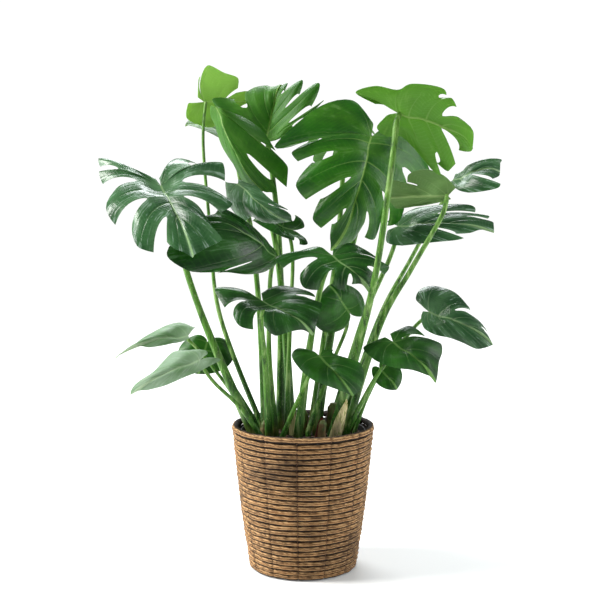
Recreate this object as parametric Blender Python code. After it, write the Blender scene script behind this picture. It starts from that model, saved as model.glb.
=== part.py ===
# A split-leaf monstera in a basket coiled from banana bark, with its nursery pot inside.
# Metres, +Z up. The origin is the middle of the basket's flat underside; the front looks along -Y.

import math

import bmesh
import bpy
import numpy as np
from mathutils import Vector
from mathutils.bvhtree import BVHTree

TOUCH_GAP = 0.0003          # left between two pieces that touch

# Basket: coiled rows from the floor to a thicker row at the rim, whose profile gives the share
# of the rim's depth inwards and of its height
BASKET_HEIGHT = 0.285
BASKET_BASE_RADIUS = 0.106
BASKET_RIM_RADIUS = 0.140
BASKET_WALL = 0.010
BASKET_ROWS = 27
BASKET_SIDES = 28
BASKET_SWELL = 0.003        # how far the wall bulges beyond a straight taper
FOOT_INSET = 0.004          # the lowest row starts this far in
CREST_PLACE = 0.42          # height of a row's crest within the row
RIM_ROW_HEIGHT = 0.013
RIM_THICKENING = 0.003      # the rim row is this much thicker than the wall
RIM_INNER_FOOT = 0.23
RIM_PROFILE = ((0.0, 0.35), (0.08, 0.75), (0.45, 1.0), (0.85, 0.77), (1.0, RIM_INNER_FOOT))
ROW_RELIEF = 0.0032         # from a row's crest to the seam beside it
ROW_DRIFT = 0.0016          # how far the rows wander up and down around the basket
FLOOR_THICKNESS = 0.009

# Nursery pot of thin black plastic, standing on the basket's floor
POT_CLEARANCE = 0.003
POT_RIM_BELOW_BASKET = 0.012
POT_WALL = 0.0018
POT_FLOOR = 0.003
POT_LIP_HEIGHT = 0.009
POT_LIP_STEP = 0.001        # the lip stands out this far

# Soil that fills the pot, with a plain hole for each stem
SOIL_TOP = 0.262
SOIL_SIDES = 28
SOIL_SIDE_GAP = 0.0006      # to the pot's inner face
SOIL_MOUND = 0.004          # how much the middle stands above the edge
SOIL_FLAT_SHARE = 0.93      # the top is flat out to this share of the radius
STEM_DEPTH = 0.026          # how deep a stem stands in the soil
STEM_SIDES = 6

# Blades
BLADE_THICKNESS = 0.0009
SEAT_RADIUS = 0.012         # the blade is flat this far around the top of its petiole
SEAT_FADE = 0.030
FAN_SHARE = 0.36            # this share of the side veins starts at the petiole, the rest along the midrib
LAST_VEIN = 0.62            # where on the midrib the last side vein starts
LEVELS = (0.0, 0.30, 0.62, 0.86, 1.0)
VEIN_BEND = 0.17
LOBE_DROP = 1.5             # how fast the lobes behind the hub fall, for a bow of 1
FINGER_ROUND = 0.24         # how much the corner of a finger towards the stalk is cut back
FINGER_ROUND_FRONT = 0.05   # and the corner towards the tip
FINGER_CURL = 0.05          # how far the sides of a free finger curl down, in half widths
MARGIN_DROP = 0.06          # how far the margin hangs, in half widths
WAVE_HEIGHT = 0.035         # waves along the margin, in half widths
WAVE_TURNS = 9
HOLE_HALF_LENGTH = 0.17     # of a closed hole, as a share of the vein beside it
HOLE_WIDTH = 0.75
SLIT_WIDTH = 1.15           # a slit opens fast, then narrows to the margin
SLIT_NARROWING = 0.45
SLIT_ROUNDING = 0.38

# Petioles
TOP_SHARE = 0.85            # radius under the blade, as a share of the upper radius
TOP_OFFSET = 0.6            # the top sits this many of its radii towards the tip
TOP_COLLAR = 1.25           # the swelling just below the top
KNEE_DROP = 3.2             # the knee hangs this many radii below the blade
KNEE_OUT = 1.2              # and this many radii back towards the stalk's way
SHEATH_END = 0.45           # the sheathed base ends at this share of the stalk
SHEATH_SHARE = 0.75         # how much of the taper belongs to the sheath

# A blade's margin on one side, from the notch at the petiole round to the tip:
# across in half widths, along in lengths of the midrib
SLENDER_MARGIN = ((0.03, -0.09), (0.17, -0.22), (0.43, -0.31), (0.76, -0.19), (0.97, 0.07),
                  (0.98, 0.34), (0.76, 0.60), (0.42, 0.81), (0.14, 0.945), (0.0, 1.0))
BROAD_MARGIN = ((0.03, -0.09), (0.20, -0.22), (0.48, -0.30), (0.80, -0.18), (0.98, 0.08),
                (1.02, 0.36), (0.93, 0.64), (0.68, 0.86), (0.28, 0.97), (0.0, 1.0))
WIDEST = 0.20               # where along the midrib the right and left points of a leaf are given

# Each leaf, from the notes of the plant as it stands: the hub where petiole and blade meet, the tip, and
# the widest points of the right and left halves as seen on the upper face with the tip away.
# bow lifts the middle of the midrib, arch lifts the middle of each half, in shares of length and width.
# margins has the margins of the right and left half, with a point at each cut and one between, from the notch
# to the tip: across in half widths, along in lengths of the midrib. A leaf without them takes a common margin:
# full runs from a slender one to a broad one, lobe is the length of the right and left lobe behind the hub.
# gap is how wide the slits open, in widths of a finger.
# cuts run from the stalk to the tip: how far each slit runs in from the margin, 0 for none,
# and a minus sign for a closed hole, with its middle at that share of the way out.
# foot is where the petiole leaves the soil, mids are points on its way, girth its radii below and above.
LEAVES = (
    dict(hub=(-0.201, 0.14, 0.919), tip=(-0.101, 0.168, 0.923), right=(-0.177, 0.15, 0.984),
         left=(-0.217, 0.125, 0.874), bow=0.08, arch=0.05, gap=0.35,
         right_cuts=(0.75, 0, 0.75), left_cuts=(0, 0, 0),
         margins=(((0.15, -0.13), (0.7, -0.14), (0.85, -0.1), (1.14, 0.03), (0.92, 0.37), (0.75, 0.66), (0.37, 0.7),
                   (0.31, 0.88), (0.0, 1.0)),
                  ((0.05, -0.26), (0.15, -0.28), (0.73, -0.08), (1.03, 0.28), (1.15, 0.6), (0.84, 0.67), (0.49, 0.74),
                   (0.17, 0.85), (0.0, 1.0))),
         foot=(-0.082, 0.036), mids=((-0.166, 0.06, 0.49), (-0.186, 0.084, 0.66), (-0.2, 0.098, 0.83)),
         girth=(0.0055, 0.003)),
    dict(hub=(-0.265, -0.08, 0.75), tip=(-0.195, -0.205, 0.631), right=(-0.372, -0.1, 0.742),
         left=(-0.118, -0.112, 0.733), bow=0.08, arch=0.05, gap=0.55,
         right_cuts=(0.35, 0.65, 0.7, 0.68), left_cuts=(0.35, 0.68, 0.67, 0),
         margins=(((0.04, -0.13), (0.75, -0.43), (0.89, -0.23), (0.9, -0.17), (1.0, 0.13), (1.07, 0.56), (1.02, 0.85),
                   (0.78, 1.0), (0.5, 1.04), (0.21, 0.96), (0.0, 1.0)),
                  ((0.04, -0.16), (0.43, -0.53), (0.89, -0.39), (1.04, -0.37), (0.95, 0.07), (0.83, 0.36),
                   (0.57, 0.47), (0.43, 0.66), (0.47, 0.82), (0.23, 0.92), (0.0, 1.0))),
         foot=(-0.098, -0.022), mids=((-0.165, -0.026, 0.425), (-0.215, -0.03, 0.56), (-0.246, -0.044, 0.68)),
         girth=(0.0105, 0.0055)),
    dict(hub=(-0.074, 0.095, 0.841), tip=(-0.045, 0.145, 0.957), right=(0.034, 0.07, 0.9),
         left=(-0.19, 0.105, 0.902), bow=0.05, arch=0.06, gap=0.5,
         right_cuts=(0.34, 0.62, 0.62, 0.42), left_cuts=(0.4, 0.35, 0, 0),
         margins=(((0.04, -0.05), (0.46, -0.02), (0.79, 0.16), (1.0, 0.35), (1.01, 0.46), (0.83, 0.73), (0.6, 0.81),
                   (0.44, 0.91), (0.15, 0.93), (0.14, 0.98), (0.0, 1.0)),
                  ((0.08, -0.06), (0.5, 0.03), (0.76, 0.19), (0.97, 0.38), (0.54, 0.62), (0.52, 0.66), (0.41, 0.82),
                   (0.24, 0.92), (0.15, 0.91), (0.07, 0.94), (0.0, 1.0))),
         foot=(-0.046, 0.052), mids=((-0.044, 0.076, 0.46), (-0.048, 0.1, 0.64), (-0.064, 0.11, 0.79)),
         girth=(0.0095, 0.0048)),
    dict(hub=(-0.169, 0.03, 0.902), tip=(-0.079, -0.02, 0.74), right=(-0.158, 0.075, 0.82),
         left=(-0.012, 0.045, 0.805), bow=0.1, arch=0.05, gap=0.4,
         right_cuts=(0, 0.45, 0), left_cuts=(0.3, 0.55, 0),
         margins=(((0.16, -0.07), (0.65, 0.02), (0.81, 0.21), (0.59, 0.53), (0.5, 0.62), (0.65, 0.76), (0.4, 0.9),
                   (0.24, 0.94), (0.0, 1.0)),
                  ((0.19, -0.06), (0.61, 0.05), (0.73, 0.34), (0.78, 0.42), (0.37, 0.93), (0.17, 0.97), (0.09, 0.98),
                   (0.04, 1.0), (0.0, 1.0))),
         foot=(-0.024, 0.034), mids=((-0.036, 0.046, 0.465), (-0.056, 0.066, 0.64), (-0.09, 0.08, 0.74),
         (-0.136, 0.078, 0.84)), girth=(0.0085, 0.0045)),
    dict(hub=(-0.123, -0.05, 0.754), tip=(-0.025, -0.06, 0.682), right=(-0.135, -0.012, 0.707),
         left=(-0.066, -0.052, 0.735), bow=0.1, arch=0.1, gap=0.3,
         right_cuts=(0, 0), left_cuts=(0, 0.4),
         margins=(((0.25, -0.17), (0.91, 0.08), (1.09, 0.45), (0.72, 0.51), (0.61, 0.7), (0.33, 0.87), (0.0, 1.0)),
                  ((0.54, -0.18), (0.91, 0.0), (0.92, 0.33), (1.12, 0.56), (0.85, 0.59), (0.76, 0.75), (0.0, 1.0))),
         foot=(-0.076, -0.004), mids=((-0.086, 0.018, 0.5), (-0.104, 0.03, 0.66)), girth=(0.007, 0.0038)),
    dict(hub=(-0.05, -0.04, 0.615), tip=(-0.178, -0.1, 0.686), right=(-0.116, -0.012, 0.685),
         left=(-0.14, -0.12, 0.582), bow=0.1, arch=0.08, gap=0.4,
         right_cuts=(0, 0, 0), left_cuts=(0, 0.55, 0),
         margins=(((0.11, -0.03), (0.34, 0.01), (0.61, 0.24), (0.63, 0.27), (0.84, 0.45), (0.78, 0.63), (0.37, 0.82),
                   (0.18, 0.98), (0.0, 1.0)),
                  ((0.15, -0.07), (0.39, -0.06), (0.73, 0.07), (0.96, 0.26), (1.11, 0.4), (1.31, 0.58), (1.1, 0.95),
                   (0.36, 1.09), (0.0, 1.0))),
         foot=(-0.054, -0.014), mids=((-0.066, -0.012, 0.42), (-0.064, -0.016, 0.56)), girth=(0.0075, 0.0042)),
    dict(hub=(-0.022, 0.026, 0.664), tip=(-0.098, 0.018, 0.684), right=(-0.022, 0.056, 0.698),
         left=(-0.012, -0.012, 0.64), bow=0.1, arch=0.08, gap=0.4, full=0.3, lobe=(0.8, 0.8),
         right_cuts=(0, 0.5, 0), left_cuts=(0, 0.5, 0),
         foot=(-0.032, -0.006), mids=((-0.026, 0.004, 0.465), (-0.02, 0.014, 0.6)), girth=(0.006, 0.0036)),
    dict(hub=(-0.075, -0.115, 0.538), tip=(0.018, -0.165, 0.485), right=(-0.149, -0.13, 0.531),
         left=(0.027, -0.11, 0.54), bow=0.08, arch=0.06, gap=0.55,
         right_cuts=(0, 0.66, 0.75, 0), left_cuts=(0, 0.4, 0, 0),
         margins=(((0.04, -0.46), (0.1, -0.56), (0.47, -0.5), (0.85, 0.04), (1.02, 0.29), (1.26, 0.82), (0.97, 0.97),
                   (0.82, 1.07), (0.43, 0.97), (0.1, 0.9), (0.0, 1.0)),
                  ((0.22, -0.23), (0.67, -0.41), (0.93, -0.35), (1.12, -0.06), (1.12, 0.18), (0.95, 0.33),
                   (0.69, 0.52), (0.37, 0.74), (0.18, 0.88), (0.08, 0.95), (0.0, 1.0))),
         foot=(-0.066, -0.05), mids=((-0.072, -0.066, 0.4), (-0.078, -0.092, 0.49)), girth=(0.0075, 0.0042)),
    dict(hub=(0.055, -0.078, 0.62), tip=(0.128, -0.106, 0.552), right=(-0.028, -0.112, 0.59),
         left=(0.14, -0.046, 0.622), bow=0.08, arch=0.06, gap=0.55,
         right_cuts=(0, 0.68, 0.62, 0.68), left_cuts=(0, 0.5, 0.45, 0),
         margins=(((0.04, -0.26), (0.12, -0.31), (0.39, -0.29), (0.88, -0.25), (0.94, 0.18), (0.98, 0.6),
                   (0.67, 0.76), (0.44, 0.81), (0.31, 0.84), (0.03, 0.76), (0.0, 1.0)),
                  ((0.14, -0.12), (0.69, -0.22), (0.83, -0.01), (0.86, 0.29), (0.96, 0.4), (0.93, 0.57), (0.61, 0.77),
                   (0.41, 0.8), (0.19, 0.9), (0.08, 0.96), (0.0, 1.0))),
         foot=(-0.01, -0.052), mids=((0.012, -0.048, 0.44), (0.034, -0.05, 0.56)), girth=(0.0095, 0.0048)),
    dict(hub=(0.132, 0.02, 0.844), tip=(0.059, -0.02, 0.625), right=(-0.034, -0.035, 0.785),
         left=(0.25, 0.105, 0.775), bow=0.08, arch=0.06, gap=0.42,
         right_cuts=(0, 0.3, 0.5, 0.72, 0.55), left_cuts=(0, 0.5, 0.5, 0.6, 0.55),
         margins=(((0.04, -0.14), (0.37, -0.35), (0.79, -0.31), (1.2, 0.0), (0.93, 0.04), (0.95, 0.08), (0.84, 0.22),
                   (0.8, 0.38), (0.57, 0.58), (0.44, 0.7), (0.22, 0.83), (0.1, 0.89), (0.0, 1.0)),
                  ((0.12, -0.11), (0.39, -0.23), (0.71, -0.21), (0.98, -0.08), (1.07, 0.07), (1.05, 0.26),
                   (0.97, 0.45), (0.8, 0.66), (0.68, 0.77), (0.53, 0.85), (0.37, 0.87), (0.21, 0.9), (0.0, 1.0))),
         foot=(0.026, 0.0), mids=((0.062, 0.024, 0.5), (0.105, 0.056, 0.66), (0.128, 0.066, 0.78)),
         girth=(0.01, 0.0052)),
    dict(hub=(0.175, -0.09, 0.884), tip=(0.308, -0.14, 0.82), right=(0.192, -0.145, 0.932),
         left=(0.235, -0.055, 0.785), bow=0.1, arch=0.08, gap=0.66,
         right_cuts=(0, 0, 0.3, 0.72), left_cuts=(0, 0, 0.35, 0.8),
         margins=(((0.06, -0.28), (0.2, -0.52), (0.6, -0.25), (0.72, 0.04), (0.99, 0.21), (1.18, 0.6), (1.03, 0.71),
                   (0.99, 0.7), (0.82, 0.9), (0.53, 1.01), (0.0, 1.0)),
                  ((0.16, -0.18), (0.46, -0.34), (0.61, -0.26), (0.51, -0.06), (0.65, 0.06), (1.09, 0.26),
                   (1.05, 0.48), (0.91, 0.48), (0.44, 0.8), (0.15, 0.93), (0.0, 1.0))),
         foot=(0.058, -0.03), mids=((0.106, -0.086, 0.46), (0.134, -0.136, 0.6), (0.16, -0.126, 0.78)),
         girth=(0.0105, 0.0055)),
    dict(hub=(0.276, -0.03, 0.731), tip=(0.162, -0.022, 0.727), right=(0.25, -0.02, 0.695),
         left=(0.22, -0.02, 0.778), bow=0.05, arch=0.05, gap=0.25,
         right_cuts=(0, 0, 0), left_cuts=(0, 0.35, 0),
         margins=(((0.18, -0.06), (0.31, 0.09), (0.49, 0.4), (0.52, 0.54), (0.59, 0.72), (0.57, 0.84), (0.34, 0.92),
                   (0.17, 0.97), (0.0, 1.0)),
                  ((0.31, -0.22), (0.8, -0.16), (1.07, 0.07), (0.9, 0.38), (0.59, 0.56), (0.69, 0.73), (0.43, 0.86),
                   (0.19, 0.96), (0.0, 1.0))),
         foot=(0.084, -0.006), mids=((0.148, -0.018, 0.48), (0.206, -0.034, 0.59), (0.262, -0.038, 0.69)),
         girth=(0.0085, 0.0045)),
    dict(hub=(0.191, 0.085, 0.669), tip=(0.38, 0.06, 0.66), right=(0.232, 0.048, 0.626),
         left=(0.248, 0.125, 0.7), bow=0.08, arch=0.06, gap=0.35,
         right_cuts=(0, 0.55, 0), left_cuts=(0, 0.62, 0.4),
         margins=(((0.26, -0.12), (0.75, -0.13), (0.89, 0.1), (0.73, 0.52), (0.46, 0.74), (0.22, 0.78), (0.05, 0.87),
                   (0.03, 0.96), (0.0, 1.0)),
                  ((0.25, -0.16), (0.96, 0.06), (1.05, 0.25), (1.2, 0.67), (0.9, 0.81), (0.84, 0.89), (0.7, 0.93),
                   (0.5, 0.96), (0.0, 1.0))),
         foot=(0.058, 0.046), mids=((0.12, 0.06, 0.48), (0.172, 0.076, 0.6)), girth=(0.008, 0.0042)),
    dict(hub=(0.312, 0.175, 0.761), tip=(0.408, 0.17, 0.78), right=(0.358, 0.135, 0.742),
         left=(0.348, 0.21, 0.805), bow=0.12, arch=0.08, gap=0.45,
         right_cuts=(0, 0.85), left_cuts=(0, 0),
         margins=(((0.14, -0.14), (0.77, -0.1), (1.21, 0.14), (1.36, 0.5), (0.96, 0.75), (0.39, 0.87), (0.0, 1.0)),
                  ((0.34, -0.0), (0.39, 0.24), (0.52, 0.49), (0.66, 0.93), (0.47, 0.95), (0.19, 0.98), (0.0, 1.0))),
         foot=(0.078, 0.052), mids=((0.156, 0.1, 0.48), (0.226, 0.165, 0.6), (0.286, 0.188, 0.705)),
         girth=(0.007, 0.0038)),
    dict(hub=(0.248, 0.02, 0.503), tip=(0.372, 0.0, 0.442), right=(0.262, 0.0, 0.455),
         left=(0.3, 0.06, 0.54), bow=0.12, arch=0.1, gap=0.45,
         right_cuts=(0, 0, 0, 0), left_cuts=(0, 0, 0.62, 0.35),
         margins=(((0.13, -0.09), (0.49, -0.09), (0.86, -0.01), (0.99, 0.17), (0.87, 0.37), (0.81, 0.56),
                   (0.75, 0.76), (0.47, 0.88), (0.19, 0.96), (0.06, 0.99), (0.0, 1.0)),
                  ((0.04, -0.09), (0.27, -0.24), (0.64, -0.23), (0.92, -0.05), (0.91, 0.23), (0.68, 0.47),
                   (0.63, 0.58), (0.38, 0.75), (0.25, 0.93), (0.15, 0.89), (0.0, 1.0))),
         foot=(0.098, 0.022), mids=((0.15, 0.022, 0.38), (0.216, 0.022, 0.468)), girth=(0.0065, 0.0036)),
    dict(hub=(0.169, -0.085, 0.458), tip=(0.247, -0.12, 0.387), right=(0.152, -0.104, 0.412),
         left=(0.245, -0.045, 0.465), bow=0.12, arch=0.1, gap=0.3,
         right_cuts=(0, 0, 0), left_cuts=(0.75, 0, 0),
         margins=(((0.09, -0.15), (0.9, -0.31), (1.02, -0.1), (0.96, 0.14), (0.77, 0.36), (0.41, 0.58), (0.13, 0.8),
                   (0.03, 0.87), (0.0, 1.0)),
                  ((0.11, -0.15), (0.81, -0.15), (0.87, 0.27), (0.93, 0.45), (0.78, 0.59), (0.53, 0.7), (0.31, 0.83),
                   (0.14, 0.93), (0.0, 1.0))),
         foot=(0.082, -0.036), mids=((0.13, -0.056, 0.37), (0.162, -0.072, 0.425)), girth=(0.006, 0.0035)),
    dict(hub=(0.15, -0.005, 0.395), tip=(0.182, -0.03, 0.358), right=(0.142, -0.018, 0.368),
         left=(0.186, 0.005, 0.398), bow=0.1, arch=0.08, gap=0.2, full=0.3, lobe=(0.8, 0.8),
         right_cuts=(0, 0), left_cuts=(0, 0),
         foot=(0.1, -0.014), mids=((0.124, -0.012, 0.335), (0.14, -0.006, 0.372)), girth=(0.004, 0.0025)),
    dict(hub=(0.031, -0.12, 0.436), tip=(0.091, -0.15, 0.368), right=(0.0, -0.14, 0.395),
         left=(0.105, -0.12, 0.44), bow=0.12, arch=0.08, gap=0.2,
         right_cuts=(0, 0, 0), left_cuts=(0, 0, 0),
         margins=(((0.04, -0.13), (0.38, -0.39), (0.74, -0.34), (0.83, -0.02), (0.76, 0.32), (0.46, 0.63),
                   (0.21, 0.83), (0.08, 0.94), (0.0, 1.0)),
                  ((0.17, -0.11), (0.44, -0.06), (0.38, 0.03), (0.69, 0.33), (0.8, 0.43), (0.66, 0.67), (0.4, 0.87),
                   (0.19, 0.97), (0.0, 1.0))),
         foot=(-0.04, -0.056), mids=((-0.016, -0.072, 0.33), (0.01, -0.098, 0.392)), girth=(0.0055, 0.0034)),
    dict(hub=(0.09, -0.02, 0.505), tip=(0.05, -0.03, 0.56), right=(0.115, 0.0, 0.535),
         left=(0.028, -0.035, 0.48), bow=0.08, arch=0.08, gap=0.2, full=0.5, lobe=(0.9, 0.9),
         right_cuts=(0, 0), left_cuts=(0, 0),
         foot=(0.01, -0.02), mids=((0.052, 0.0, 0.39), (0.084, 0.002, 0.47)), girth=(0.0055, 0.0034)),
    dict(hub=(-0.225, 0.0, 0.458), tip=(-0.36, -0.05, 0.424), right=(-0.262, 0.04, 0.484),
         left=(-0.248, -0.02, 0.435), bow=0.12, arch=0.08, gap=0.2,
         right_cuts=(0, 0, 0), left_cuts=(0, 0, 0),
         margins=(((0.32, -0.12), (0.39, -0.07), (0.72, 0.06), (0.69, 0.25), (0.5, 0.44), (0.31, 0.61), (0.15, 0.73),
                   (0.1, 0.86), (0.0, 1.0)),
                  ((0.34, -0.02), (0.47, 0.07), (0.75, 0.28), (0.76, 0.4), (0.57, 0.55), (0.12, 0.65), (0.05, 0.74),
                   (0.03, 0.88), (0.0, 1.0))),
         foot=(-0.104, 0.012), mids=((-0.142, 0.012, 0.345), (-0.202, 0.008, 0.425)), girth=(0.005, 0.0032)),
    dict(hub=(-0.194, -0.095, 0.425), tip=(-0.321, -0.13, 0.365), right=(-0.252, -0.08, 0.43),
         left=(-0.212, -0.112, 0.372), bow=0.12, arch=0.08, gap=0.2,
         right_cuts=(0, 0, 0), left_cuts=(0, 0, 0),
         margins=(((0.11, -0.14), (0.34, -0.16), (0.72, -0.06), (1.09, 0.11), (0.68, 0.39), (0.41, 0.58), (0.35, 0.8),
                   (0.22, 0.92), (0.0, 1.0)),
                  ((0.05, -0.09), (0.34, -0.28), (0.49, -0.06), (0.48, 0.16), (0.48, 0.36), (0.44, 0.53),
                   (0.25, 0.75), (0.05, 0.88), (0.0, 1.0))),
         foot=(-0.08, -0.06), mids=((-0.12, -0.072, 0.33), (-0.168, -0.084, 0.38)), girth=(0.0055, 0.0034)),
    dict(hub=(-0.192, 0.055, 0.438), tip=(-0.208, 0.03, 0.378), right=(-0.248, 0.05, 0.424),
         left=(-0.14, 0.07, 0.408), bow=0.1, arch=0.08, gap=0.2, full=0.5, lobe=(0.8, 0.8),
         right_cuts=(0, 0, 0), left_cuts=(0, 0, 0),
         foot=(-0.092, 0.05), mids=((-0.132, 0.06, 0.335), (-0.176, 0.072, 0.4)), girth=(0.005, 0.0032)),
    dict(hub=(0.085, 0.17, 0.87), tip=(0.09, 0.29, 0.79), right=(0.165, 0.215, 0.835),
         left=(0.01, 0.205, 0.835), bow=0.1, arch=0.07, gap=0.55, full=0.9, lobe=(0.9, 0.9),
         right_cuts=(0.5, 0.62, 0.66, 0.6), left_cuts=(0.5, 0.64, 0.62, 0.6),
         foot=(0.02, 0.058), mids=((0.05, 0.086, 0.48), (0.072, 0.125, 0.64), (0.084, 0.15, 0.81)),
         girth=(0.009, 0.0048)),
    dict(hub=(-0.14, 0.195, 0.84), tip=(-0.242, 0.175, 0.876), right=(-0.19, 0.235, 0.875),
         left=(-0.176, 0.155, 0.845), bow=0.1, arch=0.05, gap=0.2, full=0.2, lobe=(0.6, 0.6),
         right_cuts=(0, 0, 0), left_cuts=(0, 0, 0),
         foot=(-0.062, 0.074), mids=((-0.082, 0.09, 0.44), (-0.104, 0.14, 0.65), (-0.132, 0.2, 0.761)),
         girth=(0.006, 0.0036)),
)

# Short thick stems at the soil: place, radius, height above the soil
CROWN_LEAN = 0.004
CROWN_COLLAR = 0.004        # the stem keeps its hole's width up to here
CROWN_PROFILE = ((0.4, 0.2, 1.06), (0.45, 0.25, 0.93), (0.8, 0.6, 0.9), (1.0, 0.8, 0.55))   # height, lean, width
CROWNS = (
    ((-0.078, -0.028), 0.0080, 0.034),
    ((-0.004, 0.012), 0.0120, 0.046),
    ((0.056, 0.010), 0.0125, 0.062),
    ((0.034, -0.052), 0.0080, 0.040),
)


def material(name, colour, roughness):
    mat = bpy.data.materials.new(name)
    mat.use_nodes = True
    shader = mat.node_tree.nodes["Principled BSDF"]
    shader.inputs["Base Color"].default_value = (*colour, 1.0)
    shader.inputs["Roughness"].default_value = roughness
    return mat


def add_object(name, points, faces, mat, smooth_angle=50.0):
    mesh = bpy.data.meshes.new(name)
    mesh.from_pydata([tuple(point) for point in points], [], faces)
    mesh.update()
    mesh.materials.append(mat)
    mesh.shade_smooth()
    mesh.set_sharp_from_angle(angle=math.radians(smooth_angle))
    obj = bpy.data.objects.new(name, mesh)
    bpy.context.scene.collection.objects.link(obj)
    return obj


def tube_faces(rings, sides):
    """Faces of a tube of rings with a cap at each end; the caps come last."""
    faces = []
    for row in range(rings - 1):
        for side in range(sides):
            after = (side + 1) % sides
            faces.append((row * sides + side, row * sides + after,
                          (row + 1) * sides + after, (row + 1) * sides + side))
    faces.append(tuple(reversed(range(sides))))
    faces.append(tuple((rings - 1) * sides + side for side in range(sides)))
    return faces


def turned_solid(rings, sides):
    """A closed solid round the upright axis; each ring gives radius and height for an angle."""
    points = []
    for ring in rings:
        for side in range(sides):
            angle = 2 * math.pi * side / sides
            radius, height = ring(angle)
            points.append((radius * math.cos(angle), radius * math.sin(angle), height))
    return points, tube_faces(len(rings), sides)


def plain_ring(radius, height):
    return lambda angle: (radius, height)


def basket_radius(height):
    """Outer radius of the basket's crests, which swells a little above the straight taper."""
    share = height / BASKET_HEIGHT
    taper = BASKET_BASE_RADIUS + (BASKET_RIM_RADIUS - BASKET_BASE_RADIUS) * share
    return taper + BASKET_SWELL * math.sin(math.pi * share)


def row_ring(height, relief, drift):
    """One turn of the wall, pressed in by the relief and wandering up and down by the drift."""
    def ring(angle):
        wander = drift * math.sin(angle * 2 + height * 40) + 0.5 * drift * math.sin(angle * 5 - height * 90)
        return basket_radius(height) - relief, height + wander
    return ring


def build_basket(mat):
    rings = [plain_ring(BASKET_BASE_RADIUS - FOOT_INSET, 0.0)]
    body_height = BASKET_HEIGHT - RIM_ROW_HEIGHT
    pitch = body_height / BASKET_ROWS
    for row in range(BASKET_ROWS):
        drift = ROW_DRIFT * min(1.0, row / 3, (BASKET_ROWS - 1 - row) / 3)
        rings.append(row_ring((row + CREST_PLACE) * pitch, 0.0, drift))
        rings.append(row_ring((row + 1.0) * pitch, ROW_RELIEF, drift))
    rim_depth = BASKET_WALL + RIM_THICKENING
    for inward, height in RIM_PROFILE:
        rings.append(plain_ring(BASKET_RIM_RADIUS - inward * rim_depth, body_height + height * RIM_ROW_HEIGHT))
    rings.append(plain_ring(BASKET_BASE_RADIUS - BASKET_WALL, 0.0))
    points, faces = turned_solid(rings, BASKET_SIDES)
    # the wall is open below, so its last ring joins its first
    faces = faces[:-2]
    last = (len(rings) - 1) * BASKET_SIDES
    for side in range(BASKET_SIDES):
        after = (side + 1) % BASKET_SIDES
        faces.append((last + side, last + after, after, side))
    return add_object("basket_wall", points, faces, mat)


def basket_slope():
    """How much the wall's inner face widens with height."""
    inner_top = BASKET_HEIGHT - (1 - RIM_INNER_FOOT) * RIM_ROW_HEIGHT
    return (BASKET_RIM_RADIUS - BASKET_BASE_RADIUS - RIM_THICKENING) / inner_top


def build_floor(mat):
    """The coiled floor inside the foot of the wall, flat below."""
    outer = BASKET_BASE_RADIUS - BASKET_WALL - 1.5 * TOUCH_GAP
    rings = [plain_ring(outer, 0.0), plain_ring(outer + 0.8 * basket_slope() * FLOOR_THICKNESS, FLOOR_THICKNESS)]
    points, faces = turned_solid(rings, BASKET_SIDES)
    return add_object("basket_base", points, faces, mat)


def pot_radii():
    """Outer radii of the nursery pot at its foot and its rim, clear of the basket's inner face."""
    foot = BASKET_BASE_RADIUS - BASKET_WALL - POT_CLEARANCE
    rim = BASKET_RIM_RADIUS - BASKET_WALL - RIM_THICKENING - POT_CLEARANCE - POT_LIP_STEP
    return foot, rim


def build_pot(mat):
    foot, rim = pot_radii()
    bottom = FLOOR_THICKNESS + TOUCH_GAP
    top = BASKET_HEIGHT - POT_RIM_BELOW_BASKET
    lip = top - POT_LIP_HEIGHT
    rings = [plain_ring(foot, bottom), plain_ring(rim - POT_LIP_STEP, lip - POT_LIP_STEP), plain_ring(rim, lip),
             plain_ring(rim, top), plain_ring(rim - POT_WALL, top),
             plain_ring(foot - POT_WALL, bottom + POT_FLOOR)]
    points, faces = turned_solid(rings, BASKET_SIDES)
    return add_object("nursery_pot", points, faces, mat)


def hexagon(centre, radius, height):
    return [(centre[0] + radius * math.cos(math.pi / 3 * side),
             centre[1] + radius * math.sin(math.pi / 3 * side), height) for side in range(STEM_SIDES)]


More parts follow.
